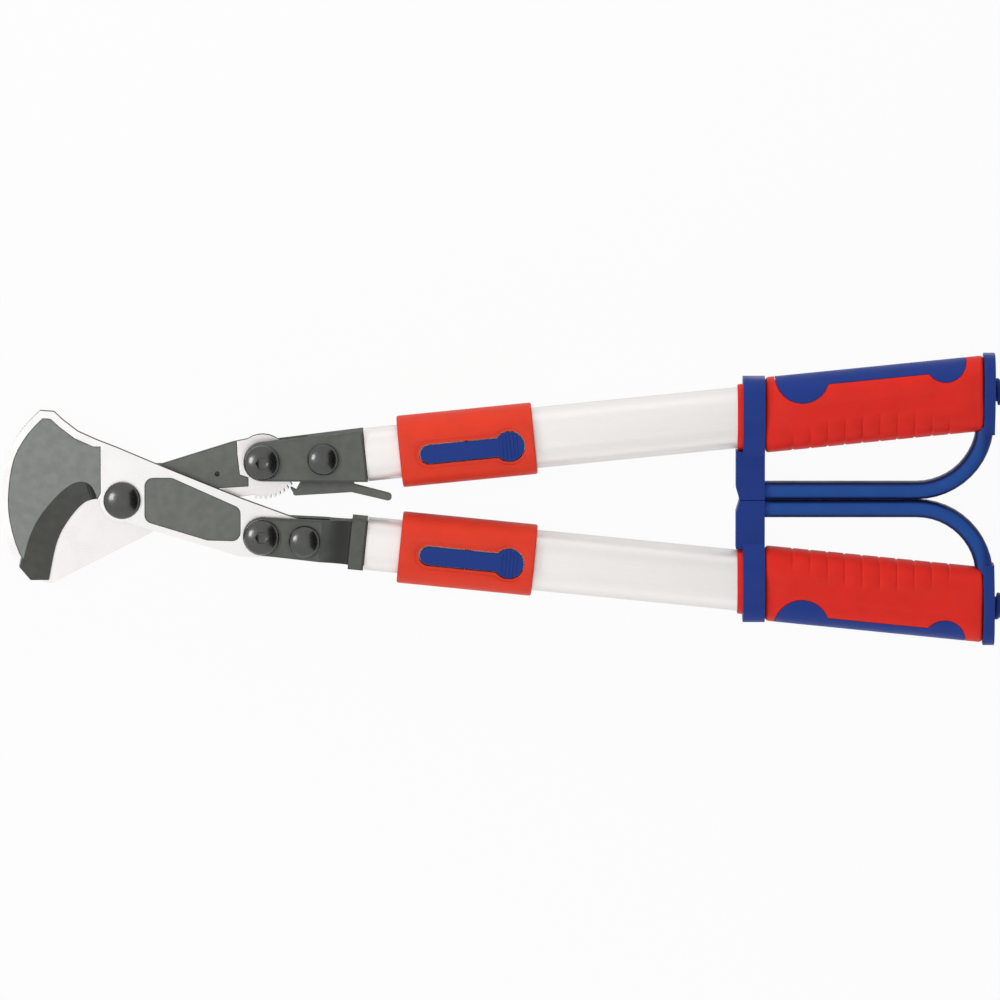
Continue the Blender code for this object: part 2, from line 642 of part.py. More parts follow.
def make_pivot(body):
    """Main pivot: domed bolt through jaw and blade, washer and nut behind the blade."""
    washer_top = BLADE_REAR - CLEARANCE
    nut_top = washer_top - WASHER_THICKNESS - CLEARANCE
    sizes = (PIVOT_SHANK, PIVOT_HEAD, PIVOT_HEAD_HEIGHT)
    bolt_end = nut_top - NUT_THICKNESS - BOLT_END
    make_bolt("pivot_bolt", body, (0, 0, 0), JAW_FRONT + CLEARANCE, bolt_end, sizes, False)
    washer = rod(WASHER_RADIUS, washer_top - WASHER_THICKNESS, washer_top)
    hole = rod(PIVOT_SHANK + CLEARANCE, -REACH, REACH)
    make_piece("pivot_washer", cut(washer, hole), BRIGHT_STEEL, body)
    make_nut("pivot_nut", body, (0, 0, 0), nut_top, PIVOT_SHANK)


def tang():
    """Plug on a fitting that the inner tube is pressed over."""
    height = INNER_TUBE_HEIGHT - 2 * (INNER_TUBE_WALL + CLEARANCE)
    width = INNER_TUBE_WIDTH - 2 * (INNER_TUBE_WALL + CLEARANCE)
    return along_handle([(COLLAR_U - COLLAR_LENGTH / 2, height, width, 0),
                         (COLLAR_U + TANG_LENGTH, height, width, 0)])


def make_upper_fitting(body):
    """Forked fitting: two cheeks over the blade's eye, a web at the back and a tang for the tube."""
    nose = arc((EYE_U, EYE_RISE), NOSE_RADIUS, 100, 265, 12)
    outline = nose + [(COLLAR_U, -COLLAR_HALF_HEIGHT), (COLLAR_U, COLLAR_HALF_HEIGHT)]
    blank = chamfered(outline, -FITTING_HALF_WIDTH, FITTING_HALF_WIDTH, FITTING_CHAMFER)
    slot_low = BLADE_REAR - CLEARANCE
    slot_high = BLADE_FRONT + CLEARANCE
    web_edge = COLLAR_HALF_HEIGHT - WEB_THICKNESS
    open_slot = box((-REACH, -REACH, slot_low), (WEB_START_U, REACH, slot_high))
    deep_slot = box((-REACH, -REACH, slot_low), (UPPER_SLOT_END_U, web_edge, slot_high))
    holes = [rod(LARGE_SHANK + CLEARANCE, -REACH, REACH, EYE_U, EYE_RISE),
             rod(SMALL_SHANK + CLEARANCE, -REACH, REACH, PAWL_U, PAWL_RISE)]
    make_piece("upper_fitting", join(cut(blank, open_slot, deep_slot, *holes), tang()), DARK_STEEL, body)


def scoop_outline(collar_start):
    """Section of the hollow before the lower collar: a long slope down to a fillet at the collar's wall."""
    run = SCOOP_LENGTH - SCOOP_FILLET
    radius = (run ** 2 + SCOOP_DEPTH ** 2) / (2 * SCOOP_DEPTH)
    floor = FITTING_HALF_WIDTH - SCOOP_DEPTH
    foot = collar_start - SCOOP_FILLET
    lean = math.degrees(math.asin(run / radius))
    slope = arc((foot, floor + radius), radius, 270 - lean, 270, 8)
    fillet = arc((foot, floor + SCOOP_FILLET), SCOOP_FILLET, 270, 360, 5)
    above = 2 * FITTING_HALF_WIDTH
    return slope[:-1] + fillet + [(collar_start, above), (collar_start - SCOOP_LENGTH, above)]


def make_lower_fitting(body):
    """Fitting whose cheeks hold the jaw's arm: slot, scooped neck, collar and a tang for the tube."""
    nose = arc((LOWER_BOLT_U, LOWER_RISE), NOSE_RADIUS, 95, 265, 12)
    collar_start = COLLAR_U - COLLAR_LENGTH
    outline = nose + [(collar_start, -LOWER_NECK_HALF_HEIGHT), (collar_start, -COLLAR_HALF_HEIGHT),
                      (COLLAR_U, -COLLAR_HALF_HEIGHT), (COLLAR_U, COLLAR_HALF_HEIGHT),
                      (collar_start, COLLAR_HALF_HEIGHT), (collar_start, LOWER_NECK_HALF_HEIGHT)]
    blank = chamfered(outline, -FITTING_HALF_WIDTH, FITTING_HALF_WIDTH, FITTING_CHAMFER)
    slot = box((-REACH, -REACH, JAW_BOTTOM - CLEARANCE), (LOWER_SLOT_END_U, REACH, JAW_FRONT + CLEARANCE))
    scoops = [moved(prism(scoop_outline(collar_start), -REACH, REACH), Matrix.Rotation(turn, 4, "X"))
              for turn in (-math.pi / 2, math.pi / 2)]
    holes = [rod(LARGE_SHANK + CLEARANCE, -REACH, REACH, LOWER_BOLT_U, LOWER_RISE),
             rod(SMALL_SHANK + CLEARANCE, -REACH, REACH, LOWER_REAR_U, LOWER_RISE)]
    solid = join(cut(blank, slot, *scoops, *holes), tang())
    make_piece("lower_fitting", flipped(solid, -1), DARK_STEEL, body)


def make_pawl(body):
    """Pawl in the fork: nose to the teeth, spring seat and the release tongue below the tube."""
    eye = Vector((EYE_U, EYE_RISE))
    angle = math.radians(NOSE_ANGLE)
    outward = Vector((math.cos(angle), math.sin(angle)))
    across = Vector((-outward.y, outward.x))
    tip = eye + outward * (TOOTH_TIP_RADIUS + CLEARANCE)
    root = tip + outward * NOSE_HEIGHT
    nose = [root + across * NOSE_ROOT_WIDTH / 2, tip + across * NOSE_TIP_WIDTH / 2,
            tip - across * NOSE_TIP_WIDTH / 2, root - across * NOSE_ROOT_WIDTH / 2]
    seat_v = PAWL_RISE - TAIL_SEAT_DEPTH
    seat_u = PAWL_U + TAIL_SEAT_LENGTH
    end_u = PAWL_U + TONGUE_LENGTH
    end_v = PAWL_RISE - TONGUE_DROP
    bar_v = root.y - PAWL_DEPTH
    tongue_root_v = bar_v - TONGUE_DEPTH * 0.3
    under = [(root.x - NOSE_ROOT_WIDTH / 2, bar_v + PAWL_DEPTH * 0.4), (root.x, bar_v),
             (seat_u, tongue_root_v)]
    tongue = arc((end_u - TONGUE_DEPTH / 2, end_v), TONGUE_DEPTH / 2, -110, 70, 6)
    over = [(seat_u + TONGUE_DEPTH / 2, tongue_root_v + TONGUE_DEPTH), (seat_u, seat_v)]
    shelf = [(PAWL_U + PAWL_BOSS_RADIUS * 0.8, seat_v)]
    boss = arc((PAWL_U, PAWL_RISE), PAWL_BOSS_RADIUS, -30, 200, 16)
    outline = [tuple(point) for point in nose] + under + tongue + over + shelf + boss
    middle = (BLADE_FRONT + BLADE_REAR) / 2
    solid = prism(outline, middle - PAWL_THICKNESS / 2, middle + PAWL_THICKNESS / 2)
    solid = cut(solid, rod(SMALL_SHANK + CLEARANCE, -REACH, REACH, PAWL_U, PAWL_RISE))
    place = (-PAWL_U, -PAWL_RISE, 0)
    make_piece("pawl_lever", moved(solid, Matrix.Translation(place)), DARK_STEEL, body, body.origin)


def make_pawl_spring(body):
    """Coil spring from the fork's web down to the pawl's tail, which pushes the nose into the teeth."""
    seat_v = PAWL_RISE - TAIL_SEAT_DEPTH + CLEARANCE
    length = COLLAR_HALF_HEIGHT - WEB_THICKNESS - CLEARANCE - seat_v
    place = (PAWL_U + TAIL_SEAT_LENGTH - PAWL_SPRING_RADIUS - PAWL_SPRING_WIRE, seat_v,
             (BLADE_FRONT + BLADE_REAR) / 2)
    make_spring("pawl_spring", body, place, PAWL_SPRING_RADIUS, PAWL_SPRING_WIRE, PAWL_SPRING_TURNS, length,
                Matrix.Rotation(-math.pi / 2, 4, "X"))


def make_inner_tube(prefix, body):
    """Oval tube pressed on the fitting, with lock holes in its front and the guide plug in its far end."""
    end = INNER_TUBE_END_U
    bore = (INNER_TUBE_HEIGHT - 2 * INNER_TUBE_WALL, INNER_TUBE_WIDTH - 2 * INNER_TUBE_WALL)
    tube = along_handle([(INNER_TUBE_U, INNER_TUBE_HEIGHT, INNER_TUBE_WIDTH, 0),
                         (end, INNER_TUBE_HEIGHT, INNER_TUBE_WIDTH, 0)])
    tube = cut(tube, along_handle([(INNER_TUBE_U - REACH, *bore, 0), (end + REACH, *bore, 0)]))
    for position in range(LOCK_POSITIONS):
        u = LOCK_PIN_U + TELESCOPE_TRAVEL * position / (LOCK_POSITIONS - 1)
        tube = cut(tube, rod(LOCK_HOLE_RADIUS, 0, REACH, u, LEVER_SHIFT))
    make_piece(prefix + "inner_tube", tube, ALUMINIUM, body)
    plug = (bore[0] - 2 * CLEARANCE, bore[1] - 2 * CLEARANCE, 0)
    play = 2 * (TUBE_PLAY - CLEARANCE)
    flange = (INNER_TUBE_HEIGHT + play, INNER_TUBE_WIDTH + play, 0)
    start = end + CLEARANCE
    guide = along_handle([(start - GUIDE_PLUG_LENGTH, *plug), (start, *plug),
                          (start, *flange), (GUIDE_END_U, *flange)])
    turn = Matrix.Translation((start, 0, 0)) @ Matrix.Rotation(math.pi / 2, 4, "Y")
    guide = cut(guide, moved(rod(GUIDE_AIR_RADIUS, -REACH, REACH), turn))
    make_piece(prefix + "tube_guide", guide, GREY_PLASTIC, body)


def make_outer_tube(prefix, body):
    """Oval tube that slides on the inner one, with a hole for the lock pin in its front."""
    bore = (OUTER_TUBE_HEIGHT - 2 * OUTER_TUBE_WALL, OUTER_TUBE_WIDTH - 2 * OUTER_TUBE_WALL, 0)
    tube = along_handle([(OUTER_TUBE_U, OUTER_TUBE_HEIGHT, OUTER_TUBE_WIDTH, 0),
                         (OUTER_TUBE_END_U, OUTER_TUBE_HEIGHT, OUTER_TUBE_WIDTH, 0)])
    tube = cut(tube, along_handle([(OUTER_TUBE_U - REACH, *bore), (OUTER_TUBE_END_U + REACH, *bore)]))
    tube = cut(tube, rod(LOCK_HOLE_RADIUS, 0, REACH, LOCK_PIN_U, LEVER_SHIFT))
    make_piece(prefix + "outer_tube", tube, ALUMINIUM, body)


def keyhole(play):
    """Outline of the lock lever, slim bar and round pad, grown by a play."""
    half = LEVER_WIDTH / 2 + play
    pad = LEVER_PAD_RADIUS + play
    meet = math.degrees(math.asin(half / pad))
    slim_end = arc((LEVER_U + LEVER_WIDTH / 2, LEVER_SHIFT), half, 90, 270, 8)
    return slim_end + arc((PAD_U, LEVER_SHIFT), pad, meet - 180, 180 - meet, 16)


def cross_rod(radius, half_length, u, w):
    """A cylinder across the handle, centred on the lever's middle line."""
    turn = Matrix.Translation((u, LEVER_SHIFT, w)) @ Matrix.Rotation(math.pi / 2, 4, "X")
    return moved(rod(radius, -half_length, half_length, sides=16), turn)


def make_lock_sleeve(prefix, body):
    """Sleeve on the outer tube's end: it closes down on the inner tube and holds the rocker lever."""
    end = SLEEVE_U + SLEEVE_LENGTH
    lift = (SLEEVE_FRONT - SLEEVE_REAR) / 2
    section = (SLEEVE_HEIGHT, SLEEVE_FRONT + SLEEVE_REAR, lift)
    sleeve = along_handle([(SLEEVE_U, *section), (end, *section)])
    narrow = (INNER_TUBE_HEIGHT + 2 * CLEARANCE, INNER_TUBE_WIDTH + 2 * CLEARANCE, 0)
    wide = (OUTER_TUBE_HEIGHT + 2 * CLEARANCE, OUTER_TUBE_WIDTH + 2 * CLEARANCE, 0)
    step = SLEEVE_U + SLEEVE_COLLAR
    bore = along_handle([(SLEEVE_U - REACH, *narrow), (step, *narrow), (step, *wide), (end + REACH, *wide)])
    window = prism(keyhole(LEVER_PLAY), OUTER_TUBE_WIDTH / 2 - OUTER_TUBE_WALL, REACH)
    pin_hole = cross_rod(HINGE_PIN_RADIUS + CLEARANCE, hinge_pin_half_length() + CLEARANCE, HINGE_U, HINGE_W)
    make_piece(prefix + "lock_sleeve", cut(sleeve, bore, window, pin_hole), RED_PLASTIC, body)
    pin = cross_rod(HINGE_PIN_RADIUS, hinge_pin_half_length(), HINGE_U, HINGE_W)
    make_piece(prefix + "lock_hinge_pin", pin, BRIGHT_STEEL, body)


def hinge_pin_half_length():
    """Half the length of the lever's hinge pin, which is held in the sleeve on both sides."""
    return LEVER_WIDTH / 2 + LEVER_PLAY + HINGE_PIN_SEAT


def make_lock_lever(prefix, body):
    """Rocker lever with a round thumb pad, and the lock pin under its slim end."""
    back = Matrix.Translation(-body.origin)
    lever = prism(keyhole(0), LEVER_BOTTOM, LEVER_TOP)
    boss = cross_rod(HINGE_BOSS_RADIUS, LEVER_WIDTH / 2 - CLEARANCE, HINGE_U, HINGE_W)
    hole = cross_rod(HINGE_PIN_RADIUS + CLEARANCE, REACH, HINGE_U, HINGE_W)
    lever = cut(join(lever, boss), hole)
    make_piece(prefix + "lock_lever", moved(lever, back), BLUE_PLASTIC, body, body.origin)
    pin_end = INNER_TUBE_WIDTH / 2 + CLEARANCE
    pin = rod(LOCK_PIN_RADIUS, pin_end, LEVER_BOTTOM - CLEARANCE, LOCK_PIN_U, LEVER_SHIFT)
    make_piece(prefix + "lock_pin", moved(pin, back), BRIGHT_STEEL, body, body.origin)


def make_lock_spring(prefix, body):
    """Small coil under the thumb pad, standing on the outer tube."""
    bottom = OUTER_TUBE_WIDTH / 2 + CLEARANCE
    length = LEVER_BOTTOM - CLEARANCE - bottom
    place = (PAD_U, LEVER_SHIFT, bottom)
    make_spring(prefix + "lock_spring", body, place, LOCK_SPRING_RADIUS, LOCK_SPRING_WIRE, LOCK_SPRING_TURNS,
                length, Matrix.Identity(4))


def grip_blank(inset):
    """The grip's outer shape, its ends square to the tool, or the same shape drawn in by an inset."""
    height = GRIP_HEIGHT - 2 * inset
    width = GRIP_WIDTH - 2 * inset
    round_off = 2 * GRIP_ROUNDING
    start = GRIP_X + inset
    end = GRIP_END_X - inset
    stations = []
    for x, less in ((start, round_off), (start + GRIP_ROUNDING, 0), (end - GRIP_ROUNDING, 0),
                    (end, round_off)):
        stations.append((x / math.cos(ANGLE), height - less, width - less, 0))
    return along_handle(stations, math.tan(ANGLE))


def inlay_outline(grow):
    """Outline of the inlay: a strip along the grip's outer edge with a round lobe near each end."""
    start = GRIP_X / math.cos(ANGLE) + INLAY_START - grow
    end = GRIP_END_X / math.cos(ANGLE) - INLAY_END + grow
    edge = GRIP_HEIGHT / 2
    inner = edge - INLAY_STRIP - grow
    front = FRONT_LOBE_RADIUS + grow
    rear = REAR_LOBE_RADIUS + grow
    front_turn = math.degrees(math.asin((edge - inner) / front))
    rear_turn = math.degrees(math.asin((edge - inner) / rear))
    front_lobe = arc((start + front, edge), front, 180, 360 - front_turn, 14)
    rear_lobe = arc((end - rear, edge), rear, 180 + rear_turn, 360, 12)
    return front_lobe + rear_lobe + [(end, 2 * edge), (start, 2 * edge)]


def make_grip(prefix, body, side):
    """Grip moulded round the outer tube, its neck through the guard's ring, and the inlay in its back."""
    tilt = math.tan(ANGLE)
    neck = along_handle([((GUARD_X - GRIP_LIP) / math.cos(ANGLE), NECK_HEIGHT, NECK_WIDTH, 0),
                         ((GRIP_X + GRIP_ROUNDING) / math.cos(ANGLE), NECK_HEIGHT, NECK_WIDTH, 0)], tilt)
    bore = (OUTER_TUBE_HEIGHT + 2 * CLEARANCE, OUTER_TUBE_WIDTH + 2 * CLEARANCE, 0)
    tube_room = along_handle([(OUTER_TUBE_U, *bore), (OUTER_TUBE_U + 2 * REACH, *bore)])
    recess = cut(prism(inlay_outline(CLEARANCE), -REACH, REACH), grip_blank(INLAY_DEPTH + CLEARANCE))
    grip = cut(join(grip_blank(0), neck), recess, tube_room)
    make_piece(prefix + "grip", flipped(grip, side), RED_PLASTIC, body)
    inlay = combine(grip_blank(0), prism(inlay_outline(0), -REACH, REACH), "INTERSECT")
    inlay = cut(inlay, grip_blank(INLAY_DEPTH))
    make_piece(prefix + "grip_inlay", flipped(inlay, side), BLUE_PLASTIC, body)


def guard_plate(x, length, middle, half_height, half_width, foot):
    """A plate across the tool: wide round the handle, drawn in to a bar that reaches inward to a foot."""
    top = middle + half_height
    corner = arc((top - GUARD_CORNER, half_width - GUARD_CORNER), GUARD_CORNER, 90, 0, 6)
    shoulder = [(foot, BAR_HALF_WIDTH), (middle - half_height, BAR_HALF_WIDTH),
                (middle - half_height / 2, half_width - GUARD_CORNER / 4), (middle, half_width)]
    front = shoulder[:1] + curve_through(shoulder[1:], 4) + corner
    outline = front + [(y, -z) for y, z in reversed(front)]
    return loft([[(place, y, z) for y, z in outline] for place in (x, x + length)])


def swept(path, depth, width, edge):
    """A bar with rounded edges that follows a path in the plane."""
    rise = depth / 2 - edge
    spread = width / 2 - edge
    corners = [((rise, spread), 0), ((-rise, spread), 90), ((-rise, -spread), 180), ((rise, -spread), 270)]
    section = [point for corner, start in corners for point in arc(corner, edge, start, start + 90, 4)]
    rows = [[(x, y, height) for x, y in shifted(path, offset, False)] for offset, height in section]
    return loft([list(ring) for ring in zip(*rows)])


def make_hand_guard(prefix, body, side):
    """Guard in one piece: ring round the grip's neck, finger loop along the middle line and end plate."""
    foot = GUARD_GAP / 2
    ring_middle = axis_height(GUARD_X + RING_LENGTH / 2)
    end_x = END_PLATE_X - GUARD_X
    end_middle = axis_height(END_PLATE_X + END_PLATE_LENGTH / 2)
    lane = foot + LOOP_DEPTH / 2
    bend_x = end_x + END_PLATE_LENGTH - LOOP_SETBACK - LOOP_DEPTH / 2 - LOOP_BEND_RADIUS
    path = [(RING_LENGTH / 2, lane)]
    path += arc((bend_x, lane + LOOP_BEND_RADIUS), LOOP_BEND_RADIUS, -90, 0, 12)
    ledge_top = ring_middle - NECK_HEIGHT / 2 - 2 * CLEARANCE
    ledge_outline = [(-BAR_LEDGE / 2, foot), (RING_LENGTH / 2, foot), (RING_LENGTH / 2, ledge_top),
                     (-BAR_LEDGE, ledge_top), (-BAR_LEDGE, foot + BAR_LEDGE_DROP)]
    ledge = prism(ledge_outline, -BAR_HALF_WIDTH, BAR_HALF_WIDTH)
    ring = guard_plate(0, RING_LENGTH, ring_middle, RING_HALF_HEIGHT, GUARD_HALF_WIDTH, foot)
    end_foot = end_middle - RING_HALF_HEIGHT - LOOP_EDGE / 4
    plate = guard_plate(end_x, END_PLATE_LENGTH, end_middle, RING_HALF_HEIGHT, END_PLATE_HALF_WIDTH, end_foot)
    guard = join(ring, ledge, swept(path, LOOP_DEPTH, LOOP_WIDTH, LOOP_EDGE), plate)
    to_guard = Matrix.Translation((-GUARD_X, HANDLE_OFFSET, 0)) @ Matrix.Rotation(ANGLE, 4, "Z")
    room = (NECK_HEIGHT + 2 * CLEARANCE, NECK_WIDTH + 2 * CLEARANCE, 0)
    near = (GUARD_X - RING_LENGTH) / math.cos(ANGLE)
    far = (GRIP_X + RING_LENGTH) / math.cos(ANGLE)
    neck_room = along_handle([(near, *room), (far, *room)], math.tan(ANGLE))
    turn = Matrix.Translation((END_PLATE_X, 0, 0)) @ Matrix.Rotation(math.pi / 2, 4, "Y")
    stem_room = moved(rod(CAP_STEM_RADIUS + CLEARANCE, -GRIP_LENGTH / 2, GRIP_LENGTH / 2), turn)
    grip_room = moved(grip_blank(-2 * CLEARANCE), to_guard)
    guard = cut(guard, grip_room, moved(neck_room, to_guard), moved(stem_room, to_guard))
    corner = from_pivot(GUARD_X, 0)
    place = (corner.x, side * corner.y, 0)
    make_piece(prefix + "hand_guard", flipped(guard, side), BLUE_PLASTIC, body, place, -side * ANGLE)


def make_end_cap(prefix, body):
    """Plug in the outer tube's end, with a stem and a head that hold the guard's end plate."""
    height = OUTER_TUBE_HEIGHT - 2 * (OUTER_TUBE_WALL + CLEARANCE)
    width = OUTER_TUBE_WIDTH - 2 * (OUTER_TUBE_WALL + CLEARANCE)
    plug = along_handle([(OUTER_TUBE_END_U - CAP_PLUG_LENGTH, height, width, 0),
                         (OUTER_TUBE_END_U, height, width, 0)])
    lean = CAP_HEAD_RADIUS * math.tan(ANGLE)
    head_u = (END_PLATE_X + END_PLATE_LENGTH + CLEARANCE) / math.cos(ANGLE) + lean
    profile = [(CAP_STEM_RADIUS, OUTER_TUBE_END_U - CAP_PLUG_LENGTH / 2), (CAP_STEM_RADIUS, head_u),
               (CAP_HEAD_RADIUS, head_u), (CAP_HEAD_RADIUS, head_u + CAP_HEAD_HEIGHT / 2),
               (CAP_HEAD_RADIUS * 0.8, head_u + CAP_HEAD_HEIGHT)]
    stem = moved(turned(profile), Matrix.Rotation(math.pi / 2, 4, "Y"))
    make_piece(prefix + "end_cap", join(plug, stem), BLUE_PLASTIC, body)


def make_sliding_end(prefix, handle, side):
    """Everything on a handle that pulls out: tube, sleeve with its lock, grip, guard and cap."""
    slide = child_body(prefix + "slide", handle, (SLEEVE_U, 0, 0))
    make_outer_tube(prefix, slide)
    make_lock_sleeve(prefix, slide)
    make_lock_spring(prefix, slide)
    make_grip(prefix, slide, side)
    make_hand_guard(prefix, slide, side)
    make_end_cap(prefix, slide)
    make_lock_lever(prefix, child_body(prefix + "lock", slide, (HINGE_U, LEVER_SHIFT, HINGE_W)))


def set_down(root):
    """Move the root so that the origin lies under the middle of the tool's box."""
    bpy.context.view_layer.update()
    corners = []
    for piece in bpy.data.objects:
        if piece.type == "MESH":
            corners += [piece.matrix_world @ vertex.co for vertex in piece.data.vertices]
    low = [min(corner[axis] for corner in corners) for axis in range(3)]
    high = [max(corner[axis] for corner in corners) for axis in range(3)]
    root.location = (-(low[0] + high[0]) / 2, -(low[1] + high[1]) / 2, -low[2])
    bpy.context.view_layer.update()


def main():
    """Build the tool from its head to its grips."""
    root = Body(add_empty("cutter_root", None, (0, 0, 0), 0), Vector((0, 0, 0)))
    make_fixed_jaw(root)
    make_pivot(root)
    blade = child_body("blade_swing", root, (0, 0, 0))
    make_moving_blade(blade)
    large = (LARGE_SHANK, LARGE_HEAD, LARGE_HEAD_HEIGHT)
    small = (SMALL_SHANK, SMALL_HEAD, SMALL_HEAD_HEIGHT)

    lower = handle_body("lower_handle", root, -1, 0, 0)
    make_lower_fitting(lower)
    make_bolt_and_nut("lower_front", lower, (LOWER_BOLT_U, -LOWER_RISE, 0), large, True)
    make_bolt_and_nut("lower_rear", lower, (LOWER_REAR_U, -LOWER_RISE, 0), small, False)
    make_inner_tube("lower_", lower)
    make_sliding_end("lower_", lower, -1)

    upper = handle_body("upper_handle", blade, 1, EYE_U, EYE_RISE)
    make_upper_fitting(upper)
    make_bolt_and_nut("eye", upper, (EYE_U, EYE_RISE, 0), large, True)
    make_bolt_and_nut("pawl", upper, (PAWL_U, PAWL_RISE, 0), small, False)
    make_pawl(child_body("pawl_swing", upper, (PAWL_U, PAWL_RISE, 0)))
    make_pawl_spring(upper)
    make_inner_tube("upper_", upper)
    make_sliding_end("upper_", upper, 1)
    set_down(root.empty)


main()
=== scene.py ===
import math

import bmesh
import bpy
from mathutils import Matrix, Vector


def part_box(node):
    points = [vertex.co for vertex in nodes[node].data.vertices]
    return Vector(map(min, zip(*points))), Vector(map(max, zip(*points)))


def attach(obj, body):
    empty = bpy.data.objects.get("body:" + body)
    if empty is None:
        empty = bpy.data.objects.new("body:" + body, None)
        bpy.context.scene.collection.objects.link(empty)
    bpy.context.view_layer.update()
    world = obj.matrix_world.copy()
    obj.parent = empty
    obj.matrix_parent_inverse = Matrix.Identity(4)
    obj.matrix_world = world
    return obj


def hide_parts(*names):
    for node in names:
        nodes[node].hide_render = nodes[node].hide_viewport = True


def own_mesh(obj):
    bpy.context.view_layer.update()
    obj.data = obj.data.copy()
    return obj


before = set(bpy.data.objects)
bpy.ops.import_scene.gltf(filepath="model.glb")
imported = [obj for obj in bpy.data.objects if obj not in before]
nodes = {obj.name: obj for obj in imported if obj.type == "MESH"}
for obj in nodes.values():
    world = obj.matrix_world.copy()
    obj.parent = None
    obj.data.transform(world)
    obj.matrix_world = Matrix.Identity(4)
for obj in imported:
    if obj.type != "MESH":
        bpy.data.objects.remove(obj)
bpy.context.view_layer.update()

# Studio: the tool lies on a white table in a white room, seen from above, a little beyond the upper handle.
# Soft boxes light the handles' outer sides, the tops and the jaws. A glint panel and a black card, which only
# shiny surfaces show, give the bolts' domes a bright and a dark side.
LENS = 400.0
SENSOR_WIDTH = 36.0
CLIP_END = 20.0
VIEW_WIDTH = 0.5716           # what the picture takes in, at the height of the tubes' axes
VIEW_CENTER = Vector((-0.0012, -0.0006, 0.0195))
VIEW_LEAN = math.radians(6.0)
CARD_X = 0.30
CARD_REACH = 0.5              # to each side of the tool's middle line
CARD_FOOT = 0.25
CARD_TOP = 1.50
ROOM_LIGHT = 0.26             # what the room sheds on matt surfaces; the eye sees it white
TABLE_REACH = 6.0
TABLE_DROP = 0.0003           # clear of the guards' flat undersides
TABLE_PAINT = (0.60, 0.60, 0.60, 1.0)
TABLE_GLOW = 0.95             # share of plain white in what the eye sees; the rest keeps the shadow

scene = bpy.context.scene
scene.view_settings.view_transform = "Standard"
camera_data = bpy.data.cameras.new("camera")
camera_data.lens = LENS
camera_data.sensor_width = SENSOR_WIDTH
camera_data.sensor_fit = "HORIZONTAL"
camera_data.clip_end = CLIP_END
camera = bpy.data.objects.new("camera", camera_data)
scene.collection.objects.link(camera)
reach = VIEW_WIDTH * LENS / SENSOR_WIDTH
camera.location = VIEW_CENTER + reach * Vector((0, math.sin(VIEW_LEAN), math.cos(VIEW_LEAN)))
camera.rotation_euler = (-VIEW_LEAN, 0, 0)
scene.camera = camera


def add_soft_box(name, place, aim, size, power, mirrored=False):
    """A rectangular lamp facing a point. It lights matt surfaces; a mirrored one shows only in shiny ones."""
    lamp = bpy.data.lights.new(name, "AREA")
    lamp.shape = "RECTANGLE"
    lamp.size, lamp.size_y = size
    lamp.energy = power
    holder = bpy.data.objects.new(name, lamp)
    scene.collection.objects.link(holder)
    holder.location = place
    holder.rotation_euler = (Vector(aim) - Vector(place)).to_track_quat("-Z", "Y").to_euler()
    holder.visible_glossy = mirrored
    holder.visible_diffuse = not mirrored


add_soft_box("upper_soft_box", place=(0.0, 1.0, 0.30), aim=(0.0, 0.05, 0.0), size=(1.1, 0.4), power=5.5)
add_soft_box("lower_soft_box", place=(0.0, -1.0, 0.30), aim=(0.0, -0.05, 0.0), size=(1.1, 0.4), power=4.4)
add_soft_box("overhead_soft_box", place=(-0.10, 0.0, 1.30), aim=(0.0, 0.0, 0.0), size=(1.1, 0.9), power=7.0)
add_soft_box("key_soft_box", place=(-0.75, 0.20, 0.85), aim=(-0.15, 0.0, 0.0), size=(0.28, 0.28), power=3.4)
add_soft_box("glint_panel", place=(-0.75, 0.12, 0.85), aim=(-0.15, 0.0, 0.0), size=(0.30, 0.30), power=2.7,
             mirrored=True)

card_mesh = bpy.data.meshes.new("black_card")
card_corners = [(CARD_X, -CARD_REACH, CARD_FOOT), (CARD_X, CARD_REACH, CARD_FOOT),
                (CARD_X, CARD_REACH, CARD_TOP), (CARD_X, -CARD_REACH, CARD_TOP)]
card_mesh.from_pydata(card_corners, [], [(0, 1, 2, 3)])
card = bpy.data.objects.new("black_card", card_mesh)
scene.collection.objects.link(card)
black_paper = bpy.data.materials.new("black_paper")
black_paper.use_nodes = True
paper = black_paper.node_tree.nodes["Principled BSDF"]
paper.inputs["Base Color"].default_value = (0.0, 0.0, 0.0, 1.0)
paper.inputs["Specular IOR Level"].default_value = 0.0
card_mesh.materials.append(black_paper)
card.visible_camera = False
card.visible_diffuse = False
card.visible_shadow = False


def feed(tree, socket, value):
    """Links another node's output to a socket, or sets the socket to a plain value."""
    if isinstance(value, bpy.types.NodeSocket):
        tree.links.new(value, socket)
    else:
        socket.default_value = value


def add_node(tree, kind, inputs=(), **settings):
    """A node with settings by name, and with inputs as pairs of a socket and what feeds it."""
    node = tree.nodes.new(kind)
    for label, value in settings.items():
        setattr(node, label, value)
    for socket, value in inputs:
        feed(tree, node.inputs[socket], value)
    return node


def math_node(tree, operation, first, second=0.0):
    """A maths node's output; each side is a number or another node's output."""
    return add_node(tree, "ShaderNodeMath", ((0, first), (1, second)), operation=operation).outputs[0]


def seen_by_eye(tree):
    """One for rays that the camera sees, straight, in a mirror or through glass, and nothing for light."""
    path = add_node(tree, "ShaderNodeLightPath")
    mirrored = math_node(tree, "MAXIMUM", path.outputs["Is Camera Ray"], path.outputs["Is Glossy Ray"])
    return math_node(tree, "MAXIMUM", mirrored, path.outputs["Is Transmission Ray"])


